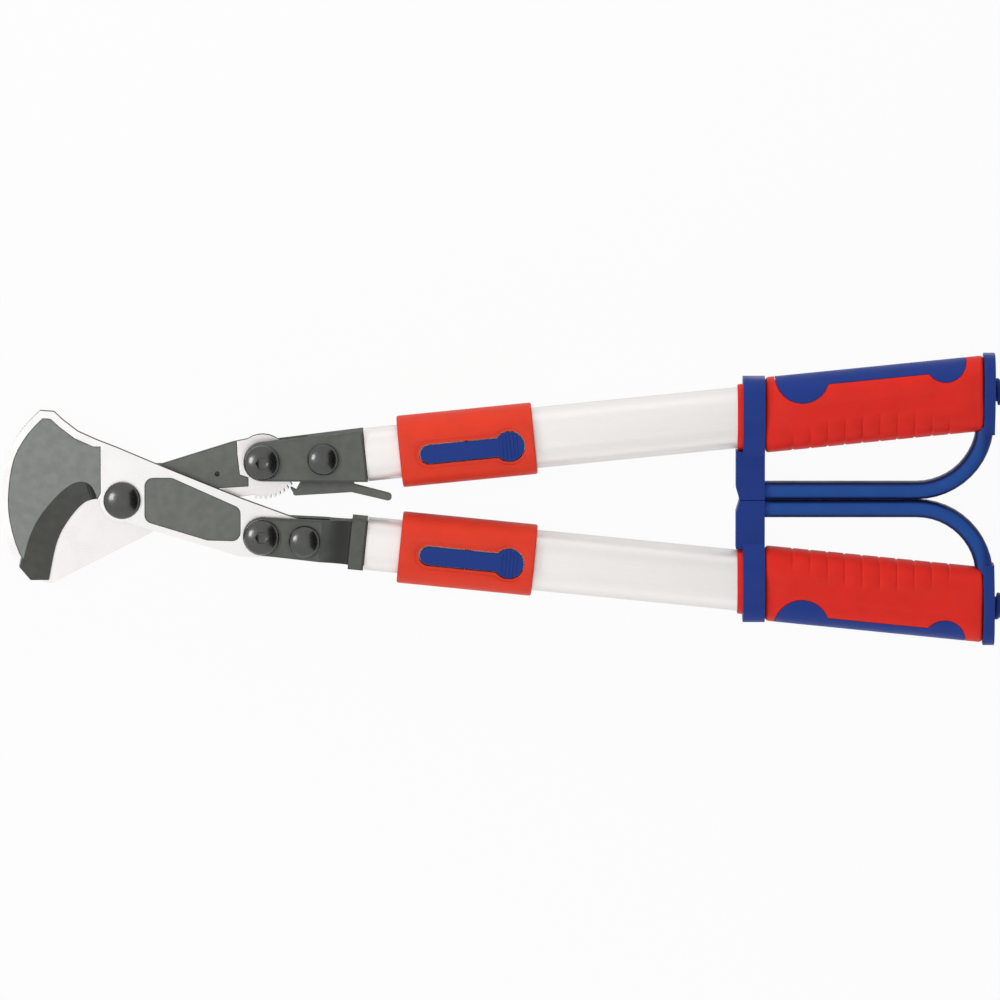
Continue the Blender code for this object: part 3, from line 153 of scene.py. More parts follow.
world = bpy.data.worlds.new("white_room")
scene.world = world
world.use_nodes = True
room = world.node_tree
background = room.nodes["Background"]
room_level = add_node(room, "ShaderNodeMapRange",
                      (("Value", seen_by_eye(room)), ("To Min", ROOM_LIGHT), ("To Max", 1.0)))
room.links.new(room_level.outputs["Result"], background.inputs["Strength"])
background.inputs["Color"].default_value = (1.0, 1.0, 1.0, 1.0)

table_mesh = bpy.data.meshes.new("table")
table_shape = bmesh.new()
bmesh.ops.create_grid(table_shape, x_segments=2, y_segments=2, size=TABLE_REACH)
table_shape.to_mesh(table_mesh)
table_shape.free()
table = bpy.data.objects.new("table", table_mesh)
scene.collection.objects.link(table)
table.location.z = -TABLE_DROP
white_table = bpy.data.materials.new("white_table")
white_table.use_nodes = True
tree = white_table.node_tree
tree.nodes.remove(tree.nodes["Principled BSDF"])
paint = add_node(tree, "ShaderNodeBsdfDiffuse", (("Color", TABLE_PAINT),))
glow = add_node(tree, "ShaderNodeEmission", (("Strength", 1.0),))
glow_share = math_node(tree, "MULTIPLY", seen_by_eye(tree), TABLE_GLOW)
table_mix = add_node(tree, "ShaderNodeMixShader",
                     (("Fac", glow_share), (1, paint.outputs[0]), (2, glow.outputs[0])))
tree.links.new(table_mix.outputs[0], tree.nodes["Material Output"].inputs["Surface"])
table_mesh.materials.append(white_table)

# Fixed jaw: one forged steel plate, hook and arm together, coated dark grey and then ground bright on its two
# flat faces. The sunk panels, the hook's bevel and the edges keep the coat. Pivot and two bolts hold it.
PIVOT_X = -0.216993
JAW_FRONT = 0.02665
JAW_REAR = 0.01965
JAW_LINES_TURN = math.radians(60)
PLATE_EDGE = 0.00015          # rounding of both plates' edges
PLATE_SHADING = 14.0          # degrees between faces that still count as one surface
EDGE_ANGLE = 32.0             # degrees between faces that make an edge, on most pieces
PLATE_RELIEF = 0.000008
GROUND_DEPTH = 0.00012        # grinding is whole down to here below a flat face
COATED_DEPTH = 0.00022        # and the coat is whole from here on
COAT_CHANGE = 0.001           # hook's painted-light tone fades to the arm's over this, at the pivot
SLOPE_FACING = (0.985, 0.956)  # upright share of a face's direction, from flat to slope
WALL_FACING = (0.90, 0.82)    # and from slope to wall
WIDE_NOISE = (0.25, 0.75)     # where nearly all of a noise's values lie
NOISE = (0.3, 0.7)            # and where most of them do
LINE_STRETCH = (200.0, 4000.0, 4000.0)  # lines to the metre, along and across
CLOUD_SCALE = 60.0
MOTTLE_SCALE = 180.0
PEBBLE_SCALE = 2200.0
COAT_SHADE = (0.90, 1.10)
COAT_ROUGHNESS = (0.46, 0.58)
GROUND_ROUGHNESS = (0.26, 0.36)
JOIN_DISTANCE = 0.000002
FLAT_ANGLE = math.radians(0.4)


def linear(red, green, blue):
    """Screen values from 0 to 255 as the linear colour that a shader takes."""
    channels = [value / 255.0 for value in (red, green, blue)]
    return tuple(((c + 0.055) / 1.055) ** 2.4 if c > 0.04 else c / 12.92 for c in channels) + (1.0,)


# The hook's coat is the arm's coat painted lighter, as if more light fell on the hook.
HOOK_COAT_PAINTED_LIGHTER = linear(124, 127, 124)
ARM_COAT = linear(104, 107, 102)
# Painted shade: slopes such as the hook's bevel, and walls and edges, are coloured darker than the coat, as
# if in shadow.
SLOPE_PAINTED_SHADE = linear(74, 75, 71)
WALL_PAINTED_SHADE = linear(44, 46, 43)
JAW_STEEL = (linear(236, 234, 232), linear(247, 245, 244))


def new_effect(name, inputs, outputs):
    """An empty shader node group with named inputs (name, kind, default) and named outputs (name, kind)."""
    group = bpy.data.node_groups.new(name, "ShaderNodeTree")
    for label, kind, default in inputs:
        socket = group.interface.new_socket(name=label, in_out="INPUT", socket_type=kind)
        socket.default_value = default
    for label, kind in outputs:
        group.interface.new_socket(name=label, in_out="OUTPUT", socket_type=kind)
    return group, group.nodes.new("NodeGroupInput"), group.nodes.new("NodeGroupOutput")


def noise(tree, place, scale, detail):
    """A noise texture's value over the surface."""
    texture = add_node(tree, "ShaderNodeTexNoise", (("Vector", place), ("Scale", scale), ("Detail", detail)))
    return texture.outputs["Fac"]


def ramp(tree, value, low, high, start=0.0, end=1.0):
    """A value that runs smoothly from start to end while another runs from low to high."""
    inputs = (("Value", value), ("From Min", low), ("From Max", high), ("To Min", start), ("To Max", end))
    return add_node(tree, "ShaderNodeMapRange", inputs, interpolation_type="SMOOTHSTEP").outputs["Result"]


def mix_colour(tree, share, first, second):
    """Two colours mixed by a share."""
    mix = add_node(tree, "ShaderNodeMix", ((0, share), (6, first), (7, second)), data_type="RGBA")
    return mix.outputs[2]


def mix_value(tree, share, first, second):
    """Two values mixed by a share."""
    mix = add_node(tree, "ShaderNodeMix", ((0, share), (2, first), (3, second)), data_type="FLOAT")
    return mix.outputs[0]


def shade_of(tree, colour, value):
    """A colour made lighter or darker by a value."""
    return add_node(tree, "ShaderNodeHueSaturation", (("Value", value), ("Color", colour))).outputs["Color"]


# Shared effect: ground or drawn metal. Long fine lines run along one direction, with a slow cloud over them.
metal_lines, lines_in, lines_out = new_effect(
    "metal_lines",
    [("Stretch", "NodeSocketVector", LINE_STRETCH), ("Turn", "NodeSocketVector", (0, 0, 0))],
    [("Lines", "NodeSocketFloat"), ("Cloud", "NodeSocketFloat")])
lines_place = add_node(metal_lines, "ShaderNodeTexCoord").outputs["Object"]
lines_turned = add_node(metal_lines, "ShaderNodeVectorRotate",
                        (("Vector", lines_place), ("Rotation", lines_in.outputs["Turn"])),
                        rotation_type="EULER_XYZ")
lines_scaled = add_node(metal_lines, "ShaderNodeVectorMath",
                        ((0, lines_turned.outputs[0]), (1, lines_in.outputs["Stretch"])),
                        operation="MULTIPLY")
fine_lines = noise(metal_lines, lines_scaled.outputs[0], scale=1.0, detail=3.0)
slow_cloud = noise(metal_lines, lines_place, CLOUD_SCALE, detail=2.0)
metal_lines.links.new(fine_lines, lines_out.inputs["Lines"])
metal_lines.links.new(slow_cloud, lines_out.inputs["Cloud"])

# Shared effect: dipped coat on forged steel, with a fine pebble and a slow mottle.
forged_coat, coat_in, coat_out = new_effect(
    "forged_coat", [("Colour", "NodeSocketColor", (0.1, 0.1, 0.1, 1.0))],
    [("Colour", "NodeSocketColor"), ("Roughness", "NodeSocketFloat"), ("Height", "NodeSocketFloat")])
coat_place = add_node(forged_coat, "ShaderNodeTexCoord").outputs["Object"]
pebble = noise(forged_coat, coat_place, PEBBLE_SCALE, detail=2.0)
mottle = noise(forged_coat, coat_place, MOTTLE_SCALE, detail=4.0)
coat_shade = shade_of(forged_coat, coat_in.outputs["Colour"],
                      ramp(forged_coat, mottle, *WIDE_NOISE, *COAT_SHADE))
forged_coat.links.new(coat_shade, coat_out.inputs["Colour"])
forged_coat.links.new(ramp(forged_coat, mottle, *NOISE, *COAT_ROUGHNESS), coat_out.inputs["Roughness"])
forged_coat.links.new(pebble, coat_out.inputs["Height"])


def new_material(name, roughness=0.5, metallic=0.0, specular=0.15):
    """A node material with its tree and its Principled shader."""
    material = bpy.data.materials.new(name)
    material.use_nodes = True
    shader = material.node_tree.nodes["Principled BSDF"]
    shader.inputs["Roughness"].default_value = roughness
    shader.inputs["Metallic"].default_value = metallic
    shader.inputs["Specular IOR Level"].default_value = specular
    return material, material.node_tree, shader


def add_group(tree, group, **values):
    """A shared effect placed in a material, with its inputs set by name."""
    return add_node(tree, "ShaderNodeGroup", values.items(), node_tree=group)


def coordinate(tree, kind, axis):
    """One axis of a point's place on the piece (kind Object) or of the way that it faces (kind Normal)."""
    source = add_node(tree, "ShaderNodeTexCoord").outputs[kind]
    return add_node(tree, "ShaderNodeSeparateXYZ", ((0, source),)).outputs[axis]


def add_bump(tree, shader, height, distance):
    """Fine relief on a shader, as deep as a distance in metres."""
    bump = add_node(tree, "ShaderNodeBump", (("Height", height), ("Distance", distance), ("Strength", 1.0)))
    tree.links.new(bump.outputs["Normal"], shader.inputs["Normal"])


def plate_material(name, front, rear, hook_coat_painted_light, arm_coat, steel, turn):
    """Forged plate: bright ground faces at two heights, coat between, painted shade on slopes and walls."""
    material, tree, shader = new_material(name)
    height = coordinate(tree, "Object", "Z")
    facing = coordinate(tree, "Normal", "Z")
    ground = math_node(tree, "MAXIMUM", ramp(tree, height, front - COATED_DEPTH, front - GROUND_DEPTH),
                       ramp(tree, height, rear + COATED_DEPTH, rear + GROUND_DEPTH))
    along = coordinate(tree, "Object", "X")
    # Painted light: the hook's side of the pivot can take a lighter coat than the arm's.
    coat = mix_colour(tree, ramp(tree, along, PIVOT_X, PIVOT_X + COAT_CHANGE), hook_coat_painted_light, arm_coat)
    # Painted shade on slopes and walls.
    sloped = mix_colour(tree, ramp(tree, facing, *SLOPE_FACING), coat, SLOPE_PAINTED_SHADE)
    walled = mix_colour(tree, ramp(tree, facing, *WALL_FACING), sloped, WALL_PAINTED_SHADE)
    coating = add_group(tree, forged_coat, Colour=walled)
    lines = add_group(tree, metal_lines, Turn=(0, 0, turn))
    ground_steel = mix_colour(tree, lines.outputs["Lines"], *steel)
    colour = mix_colour(tree, ground, coating.outputs["Colour"], ground_steel)
    tree.links.new(colour, shader.inputs["Base Color"])
    tree.links.new(ground, shader.inputs["Metallic"])
    steel_roughness = ramp(tree, lines.outputs["Cloud"], *NOISE, *GROUND_ROUGHNESS)
    roughness = mix_value(tree, ground, coating.outputs["Roughness"], steel_roughness)
    tree.links.new(roughness, shader.inputs["Roughness"])
    relief = mix_value(tree, ground, coating.outputs["Height"], lines.outputs["Lines"])
    add_bump(tree, shader, relief, PLATE_RELIEF)
    return material


def new_geometry_group(name):
    """An empty geometry node group that takes in one shape and gives one out."""
    group = bpy.data.node_groups.new(name, "GeometryNodeTree")
    for way in ("INPUT", "OUTPUT"):
        group.interface.new_socket(name="Geometry", in_out=way, socket_type="NodeSocketGeometry")
    return group


# Solids from the drawing arrive as loose triangles. One group joins them and drops their stored shading, the
# other shades smooth every edge flatter than a limit.
joined_solid = new_geometry_group("joined_solid")
solid_in = joined_solid.nodes.new("NodeGroupInput")
solid_out = joined_solid.nodes.new("NodeGroupOutput")
plain = add_node(joined_solid, "GeometryNodeRemoveAttribute",
                 (("Geometry", solid_in.outputs[0]), ("Name", "custom_normal")))
merged = add_node(joined_solid, "GeometryNodeMergeByDistance",
                  (("Geometry", plain.outputs[0]), ("Distance", JOIN_DISTANCE)))
joined_solid.links.new(merged.outputs[0], solid_out.inputs[0])

smooth_shading = new_geometry_group("smooth_shading")
limit = smooth_shading.interface.new_socket(name="Limit", in_out="INPUT", socket_type="NodeSocketFloat")
smooth_in = smooth_shading.nodes.new("NodeGroupInput")
smooth_out = smooth_shading.nodes.new("NodeGroupOutput")
edge_angle = add_node(smooth_shading, "GeometryNodeInputMeshEdgeAngle").outputs[0]
flat_edge = add_node(smooth_shading, "FunctionNodeCompare",
                     ((0, edge_angle), (1, smooth_in.outputs["Limit"])),
                     data_type="FLOAT", operation="LESS_EQUAL")
all_faces = add_node(smooth_shading, "GeometryNodeSetShadeSmooth",
                     (("Geometry", smooth_in.outputs["Geometry"]), ("Shade Smooth", True)),
                     domain="FACE")
by_edge = add_node(smooth_shading, "GeometryNodeSetShadeSmooth",
                   (("Geometry", all_faces.outputs[0]), ("Shade Smooth", flat_edge.outputs[0])),
                   domain="EDGE")
smooth_shading.links.new(by_edge.outputs[0], smooth_out.inputs[0])


def shade_smooth(piece, degrees):
    """Shades a piece smooth where its faces meet at less than an angle."""
    modifier = piece.modifiers.new("smooth_shading", "NODES")
    modifier.node_group = smooth_shading
    modifier[limit.identifier] = math.radians(degrees)


def round_edges(piece, width, segments=2, degrees=EDGE_ANGLE):
    """Rounds the edges of a piece that are sharper than an angle."""
    bevel = piece.modifiers.new("rounded_edges", "BEVEL")
    bevel.width = width
    bevel.segments = segments
    bevel.limit_method = "ANGLE"
    bevel.angle_limit = math.radians(degrees)
    bevel.use_clamp_overlap = True
    bevel.miter_outer = "MITER_ARC"


def finish_solid(name, material, rounding, degrees=EDGE_ANGLE, shading=EDGE_ANGLE):
    """Gives a node of the drawing its material, rounded edges and smooth shading up to an angle."""
    piece = nodes[name]
    piece.modifiers.new("joined_solid", "NODES").node_group = joined_solid
    flats = piece.modifiers.new("whole_flats", "DECIMATE")
    flats.decimate_type = "DISSOLVE"
    flats.angle_limit = FLAT_ANGLE
    round_edges(piece, rounding, degrees=degrees)
    shade_smooth(piece, shading)
    weighted = piece.modifiers.new("weighted_normals", "WEIGHTED_NORMAL")
    weighted.keep_sharp = True
    piece.material_slots[0].material = material


jaw_steel = plate_material("jaw_steel", JAW_FRONT, JAW_REAR, HOOK_COAT_PAINTED_LIGHTER, ARM_COAT, JAW_STEEL, JAW_LINES_TURN)
finish_solid("fixed_jaw", jaw_steel, PLATE_EDGE, shading=PLATE_SHADING)

# Moving blade: blade, tail and toothed eye in one forged plate behind the jaw, finished like it. The ratchet
# teeth are milled round the eye. It turns on the main pivot.
BLADE_FRONT = 0.01935
BLADE_REAR = 0.01235
BLADE_LINES_TURN = math.radians(-35)
BLADE_COAT = linear(104, 106, 101)
BLADE_STEEL = (linear(232, 228, 226), linear(245, 241, 240))

blade_steel = plate_material("blade_steel", BLADE_FRONT, BLADE_REAR, BLADE_COAT, BLADE_COAT, BLADE_STEEL,
                             BLADE_LINES_TURN)
finish_solid("moving_blade", blade_steel, PLATE_EDGE, shading=PLATE_SHADING)

# Bolts: blackened steel with domed heads, turned on a lathe. The bolts through the eye and the front of the
# lower fitting have a six-sided socket; the main pivot and the two small ones are plain.
SHEAR_HEIGHT = 0.0195         # of the plane between jaw and blade
FITTING_HALF_WIDTH = 0.0130
SEAT_GAP = 0.0003
NUT_THICKNESS = 0.0054
BOLT_END = 0.0007             # how far a bolt stands out of its nut
LARGE_BOLT = (0.0050, 0.0101, 0.0050)  # radius of shank, radius of head, height of head
SMALL_BOLT = (0.0045, 0.0090, 0.0048)
PIVOT_BOLT = (0.0060, 0.0107, 0.0056)
BOLT_CHAMFER = 0.0005
BOLT_RIM = 0.25               # share of the head's height below the dome
DOME_STEP = 5                 # degrees
DOME_STEPS = 17
BOLT_SIDES = 64
SOCKET_RADIUS = 0.0036
SOCKET_DEPTH = 0.0022
SOCKET_SIDES = 6
SOCKET_BEVEL = 0.0005         # round the socket's mouth
BEVEL_OVERRUN = 0.0003        # of the cutter, above the head
BOLT_EDGE = 0.00012
BOLT_SHADING = 40.0
BOLT_RELIEF = 0.000002
BOLT_ROUGHNESS = (0.24, 0.32)
TURNING_SCALE = 900.0
DEGENERATE = 0.000001         # edges shorter than this are dropped after a cut
BLACKING = linear(66, 67, 65)


def new_piece(name, shape, material, slot, body, *replaced):
    """A finished mesh as an object that rides on a body and may stand for nodes of the drawing."""
    mesh = bpy.data.meshes.new(name)
    shape.to_mesh(mesh)
    shape.free()
    piece = bpy.data.objects.new(name, mesh)
    scene.collection.objects.link(piece)
    mesh.materials.append(material)
    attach(piece, body)
    if replaced:
        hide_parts(*replaced)
    return piece


def loft(rings):
    """A closed skin through rings of as many points each, with a face at both ends."""
    shape = bmesh.new()
    loops = [[shape.verts.new(point) for point in ring] for ring in rings]
    count = len(rings[0])
    for lower, upper in zip(loops, loops[1:]):
        for index in range(count):
            following = (index + 1) % count
            shape.faces.new((lower[index], lower[following], upper[following], upper[index]))
    shape.faces.new(loops[0][::-1])
    shape.faces.new(loops[-1])
    bmesh.ops.recalc_face_normals(shape, faces=shape.faces)
    return shape


def turned(profile, sides):
    """A solid of revolution about the upright axis, from (radius, height) points."""
    angles = [2 * math.pi * index / sides for index in range(sides)]
    return loft([[(r * math.cos(a), r * math.sin(a), z) for a in angles] for r, z in profile])


def combine(first, second, operation):
    """Two shapes joined, cut or intersected; both are used up."""
    pieces = []
    for label, shape in (("first", first), ("second", second)):
        mesh = bpy.data.meshes.new(label)
        shape.to_mesh(mesh)
        shape.free()
        piece = bpy.data.objects.new(label, mesh)
        scene.collection.objects.link(piece)
        pieces.append(piece)
    modifier = pieces[0].modifiers.new("combine", "BOOLEAN")
    modifier.object = pieces[1]
    modifier.operation = operation
    modifier.solver = "EXACT"
    bpy.context.view_layer.update()
    evaluated = pieces[0].evaluated_get(bpy.context.evaluated_depsgraph_get())
    result = bmesh.new()
    result.from_mesh(evaluated.to_mesh())
    evaluated.to_mesh_clear()
    for piece in pieces:
        mesh = piece.data
        bpy.data.objects.remove(piece)
        bpy.data.meshes.remove(mesh)
    bmesh.ops.dissolve_degenerate(result, edges=result.edges, dist=DEGENERATE)
    return result


def bolt_shape(sizes, seat, end, socket):
    """A bolt with a domed head on a seat, its shank running down to a chamfered end."""
    shank, head, height = sizes
    rim = height * BOLT_RIM
    profile = [(shank - BOLT_CHAMFER, end), (shank, end + BOLT_CHAMFER), (shank, seat),
               (head - BOLT_CHAMFER, seat), (head, seat + BOLT_CHAMFER), (head, seat + rim)]
    for step in range(1, DOME_STEPS + 1):
        angle = math.radians(DOME_STEP * step)
        profile.append((head * math.cos(angle), seat + rim + (height - rim) * math.sin(angle)))
    shape = turned(profile, BOLT_SIDES)
    if socket:
        top = seat + height
        mouth = SOCKET_RADIUS + SOCKET_BEVEL + BEVEL_OVERRUN
        cutter = turned([(SOCKET_RADIUS, top - SOCKET_DEPTH), (SOCKET_RADIUS, top - SOCKET_BEVEL),
                         (mouth, top + BEVEL_OVERRUN), (mouth, top + head)], SOCKET_SIDES)
        shape = combine(shape, cutter, "DIFFERENCE")
    return shape


black_steel, tree, shader = new_material("black_steel", metallic=0.9)
blacking = add_group(tree, forged_coat, Colour=BLACKING)
tree.links.new(blacking.outputs["Colour"], shader.inputs["Base Color"])
bolt_place = add_node(tree, "ShaderNodeTexCoord").outputs["Object"]
turning = noise(tree, bolt_place, TURNING_SCALE, detail=2.0)
tree.links.new(ramp(tree, turning, *NOISE, *BOLT_ROUGHNESS), shader.inputs["Roughness"])
add_bump(tree, shader, turning, BOLT_RELIEF)
shader.inputs["Coat Weight"].default_value = 1.0
shader.inputs["Coat Roughness"].default_value = 0.16

plate_seat = JAW_FRONT + SEAT_GAP
cheek_seat = SHEAR_HEIGHT + FITTING_HALF_WIDTH + SEAT_GAP
cheek_end = SHEAR_HEIGHT - FITTING_HALF_WIDTH - SEAT_GAP - NUT_THICKNESS - BOLT_END
for name, body, sizes, seat, end, socket in (
        ("pivot_bolt", "head", PIVOT_BOLT, plate_seat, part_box("pivot_bolt")[0].z, False),
        ("lower_front_bolt", "head", LARGE_BOLT, cheek_seat, cheek_end, True),
        ("lower_rear_bolt", "head", SMALL_BOLT, cheek_seat, cheek_end, False),
        ("eye_bolt", "upper_handle", LARGE_BOLT, cheek_seat, cheek_end, True),
        ("pawl_bolt", "upper_handle", SMALL_BOLT, cheek_seat, cheek_end, False)):
    low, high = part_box(name)
    shape = bolt_shape(sizes, seat, end, socket)
    bmesh.ops.translate(shape, verts=shape.verts, vec=((low.x + high.x) / 2, (low.y + high.y) / 2, 0))
    bolt = new_piece("turned_" + name, shape, black_steel, "black_steel", body, name)
    round_edges(bolt, BOLT_EDGE, degrees=BOLT_SHADING)
    shade_smooth(bolt, BOLT_SHADING)

# Nuts and pivot washer, behind the plates: six-sided steel nuts, blackened like the bolts, and a bright
# washer, punched from sheet steel, under the pivot's nut.
NUT_EDGE = 0.0005
WASHER_EDGE = 0.0003
WASHER_LINES_TURN = 0.6
BRIGHT_STEEL = (linear(205, 204, 201), linear(236, 235, 232))
BRIGHT_ROUGHNESS = (0.24, 0.38)
BRIGHT_RELIEF = 0.00001

for name in ("pivot_nut", "lower_front_nut", "lower_rear_nut", "eye_nut", "pawl_nut"):
    finish_solid(name, black_steel, NUT_EDGE)


def lined_material(name, turn, tones, roughness, relief, metallic):
    """Bare metal with fine lines of two tones; its roughness runs between two values."""
    material, tree, shader = new_material(name, metallic=metallic)
    lines = add_group(tree, metal_lines, Turn=(0, 0, turn))
    tree.links.new(mix_colour(tree, lines.outputs["Lines"], *tones), shader.inputs["Base Color"])
    tree.links.new(ramp(tree, lines.outputs["Cloud"], *NOISE, *roughness), shader.inputs["Roughness"])
    add_bump(tree, shader, lines.outputs["Lines"], relief)
    return material


bright_steel = lined_material("bright_steel", WASHER_LINES_TURN, BRIGHT_STEEL, BRIGHT_ROUGHNESS,
                              BRIGHT_RELIEF, metallic=1.0)
finish_solid("pivot_washer", bright_steel, WASHER_EDGE)

# Handle fittings: drop-forged steel forks, coated dark grey, the upper one hinged on the eye, the lower one
# bolted to the jaw's arm. Each ends in a collar and a tang for its tube. The pawl is of the same steel.
FITTING_EDGE = 0.0004
PAWL_EDGE = 0.0003
FITTING_RELIEF = 0.00002
FLANK_FACING = (0.80, 0.50)   # upright share of a face's direction, from broad side to flank
NECK_TOP = 0.0122             # from the shear plane, where the lower fitting's neck is scooped out
NECK_FLOOR = 0.0072
FORK_COAT = linear(92, 94, 89)
NECK_COAT = linear(86, 88, 83)
# Painted shade down in the lower fitting's scooped neck, as if in shadow.
HOLLOW_PAINTED_SHADE = linear(52, 53, 50)
# The pawl's coat is the fork's coat painted lighter, to lift the shade it lies in under the fork.
PAWL_COAT_PAINTED_LIGHTER = linear(106, 108, 103)


def fitting_material(name, coat, hollow=False):
    """Coated forging, with painted shade on its flanks and, with a hollow, down in its scooped neck."""
    material, tree, shader = new_material(name)
    facing = math_node(tree, "ABSOLUTE", coordinate(tree, "Normal", "Z"))
    # Painted shade: flanks take the wall colour, as if in shadow.
    colour = mix_colour(tree, ramp(tree, facing, *FLANK_FACING), coat, WALL_PAINTED_SHADE)
    if hollow:
        height = coordinate(tree, "Object", "Z")
        depth = math_node(tree, "ABSOLUTE", math_node(tree, "SUBTRACT", height, SHEAR_HEIGHT))
        # Painted shade, deepening from the neck's top down to its floor.
        colour = mix_colour(tree, ramp(tree, depth, NECK_TOP, NECK_FLOOR), colour, HOLLOW_PAINTED_SHADE)
    coating = add_group(tree, forged_coat, Colour=colour)
    tree.links.new(coating.outputs["Colour"], shader.inputs["Base Color"])
    tree.links.new(coating.outputs["Roughness"], shader.inputs["Roughness"])
    add_bump(tree, shader, coating.outputs["Height"], FITTING_RELIEF)
    return material


finish_solid("upper_fitting", fitting_material("fork_steel", FORK_COAT), FITTING_EDGE)
finish_solid("lower_fitting", fitting_material("neck_steel", NECK_COAT, hollow=True), FITTING_EDGE)
finish_solid("pawl_lever", fitting_material("pawl_steel", PAWL_COAT_PAINTED_LIGHTER), PAWL_EDGE)

# Pawl spring: a coil of bright wire in the fork, between its web and the pawl's tail, with closed end turns.
# The tail presses it against the web as the pawl is released.
HANDLE_ANGLE = math.radians(5.72)
HANDLE_OFFSET = 0.0115
PAWL_SPRING_U = 0.1268
PAWL_SPRING_SEAT = -0.0087
PAWL_SPRING_RADIUS = 0.0024
PAWL_SPRING_WIRE = 0.0004
PAWL_SPRING_TURNS = 6
PAWL_SPRING_LENGTH = 0.0190
COIL_STEPS = 28               # in each turn
WIRE_SIDES = 10
EVEN_PITCH = 0.6              # share of the coil's rise that is even; the middle turns take the rest
COIL_SHADING = 50.0


def handle_frame(side):
    """From a handle's own frame, u along, v outward and w up, to the table; side is 1 above, -1 below."""
    cos, sin = math.cos(HANDLE_ANGLE), math.sin(HANDLE_ANGLE)
    return Matrix(((cos, -sin, 0, PIVOT_X), (side * sin, side * cos, 0, side * HANDLE_OFFSET),
                   (0, 0, 1, SHEAR_HEIGHT), (0, 0, 0, 1)))


def place_on_handle(shape, side):
    """Moves a shape drawn in a handle's frame to its place, facing outward."""
    bmesh.ops.transform(shape, matrix=handle_frame(side), verts=shape.verts)
    bmesh.ops.recalc_face_normals(shape, faces=shape.faces)
    return shape


def coil_shape(radius, wire, turns, length):
    """A coil spring standing on the ground: open turns between two closed ones."""
    steps = int(turns * COIL_STEPS)
    rings = []
    for index in range(steps + 1):
        share = index / steps
        angle = 2 * math.pi * turns * share
        rise = share * EVEN_PITCH + (1 - EVEN_PITCH) * share * share * (3 - 2 * share)
        middle = wire + (length - 2 * wire) * rise
        outward = Vector((math.cos(angle), math.sin(angle), 0))
        ring = []
        for side in range(WIRE_SIDES):
            around = 2 * math.pi * side / WIRE_SIDES
            height = Vector((0, 0, middle + wire * math.sin(around)))
            ring.append(outward * (radius + wire * math.cos(around)) + height)
        rings.append(ring)
    return loft(rings)


shape = coil_shape(PAWL_SPRING_RADIUS, PAWL_SPRING_WIRE, PAWL_SPRING_TURNS, PAWL_SPRING_LENGTH)
blade_middle = (BLADE_FRONT + BLADE_REAR) / 2 - SHEAR_HEIGHT
seat = Matrix.Translation((PAWL_SPRING_U, PAWL_SPRING_SEAT, blade_middle))
bmesh.ops.transform(shape, matrix=seat @ Matrix.Rotation(-math.pi / 2, 4, "X"), verts=shape.verts)
spring = new_piece("pawl_spring_coil", place_on_handle(shape, 1), bright_steel, "bright_steel",
                   "upper_handle", "pawl_spring")
shade_smooth(spring, COIL_SHADING)
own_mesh(spring)

# Tubes: drawn oval aluminium with a satin skin. The inner one is pressed on its fitting, the outer one slides
# over it, and a grey plastic guide on the inner tube's end runs in the outer one.
HANDLES = ((1, "upper_"), (-1, "lower_"))
TUBE_EDGE = 0.0003
TUBE_RELIEF = 0.000006
TUBE_ROUGHNESS = (0.34, 0.44)
TUBE_METALLIC = 0.45          # the satin skin hides the rest of the metal
GUIDE_EDGE = 0.0004
TUBE_ALUMINIUM = (linear(229, 226, 223), linear(239, 236, 234))
GUIDE_GREY = linear(70, 72, 76)
FINE_GRAIN = 2600.0           # grains of moulded plastic to the metre
HANDLING_SCALE = 70.0
PLASTIC_SHADE = (0.96, 1.04)
PLASTIC_ROUGHNESS = (0.38, 0.50)
PLASTIC_SPECULAR = 0.12
SMOOTH_RELIEF = 0.00002
FLANK_SHADE_FACING = (0.60, 0.88)  # upright share of a face's direction, from shaded flank to front
LOOP_TONE_FADE = 0.005

for side, prefix in HANDLES:
    drawn = lined_material(prefix + "tube_aluminium", -side * HANDLE_ANGLE, TUBE_ALUMINIUM, TUBE_ROUGHNESS,
                           TUBE_RELIEF, TUBE_METALLIC)
    finish_solid(prefix + "inner_tube", drawn, TUBE_EDGE)
    finish_solid(prefix + "outer_tube", drawn, TUBE_EDGE)

# Shared effect: moulded plastic, with the fine grain of its mould and a slow change of shade from handling.
moulded_grain, grain_in, grain_out = new_effect(
    "moulded_grain",
    [("Colour", "NodeSocketColor", (0.5, 0.5, 0.5, 1.0)), ("Size", "NodeSocketFloat", FINE_GRAIN)],
    [("Colour", "NodeSocketColor"), ("Roughness", "NodeSocketFloat"), ("Height", "NodeSocketFloat")])
grain_place = add_node(moulded_grain, "ShaderNodeTexCoord").outputs["Object"]
grain = noise(moulded_grain, grain_place, grain_in.outputs["Size"], detail=2.0)
handling = noise(moulded_grain, grain_place, HANDLING_SCALE, detail=3.0)
grain_shade = shade_of(moulded_grain, grain_in.outputs["Colour"],
                       ramp(moulded_grain, handling, *WIDE_NOISE, *PLASTIC_SHADE))
grain_roughness = ramp(moulded_grain, handling, *NOISE, *PLASTIC_ROUGHNESS)
moulded_grain.links.new(grain_shade, grain_out.inputs["Colour"])
moulded_grain.links.new(grain_roughness, grain_out.inputs["Roughness"])
moulded_grain.links.new(grain, grain_out.inputs["Height"])


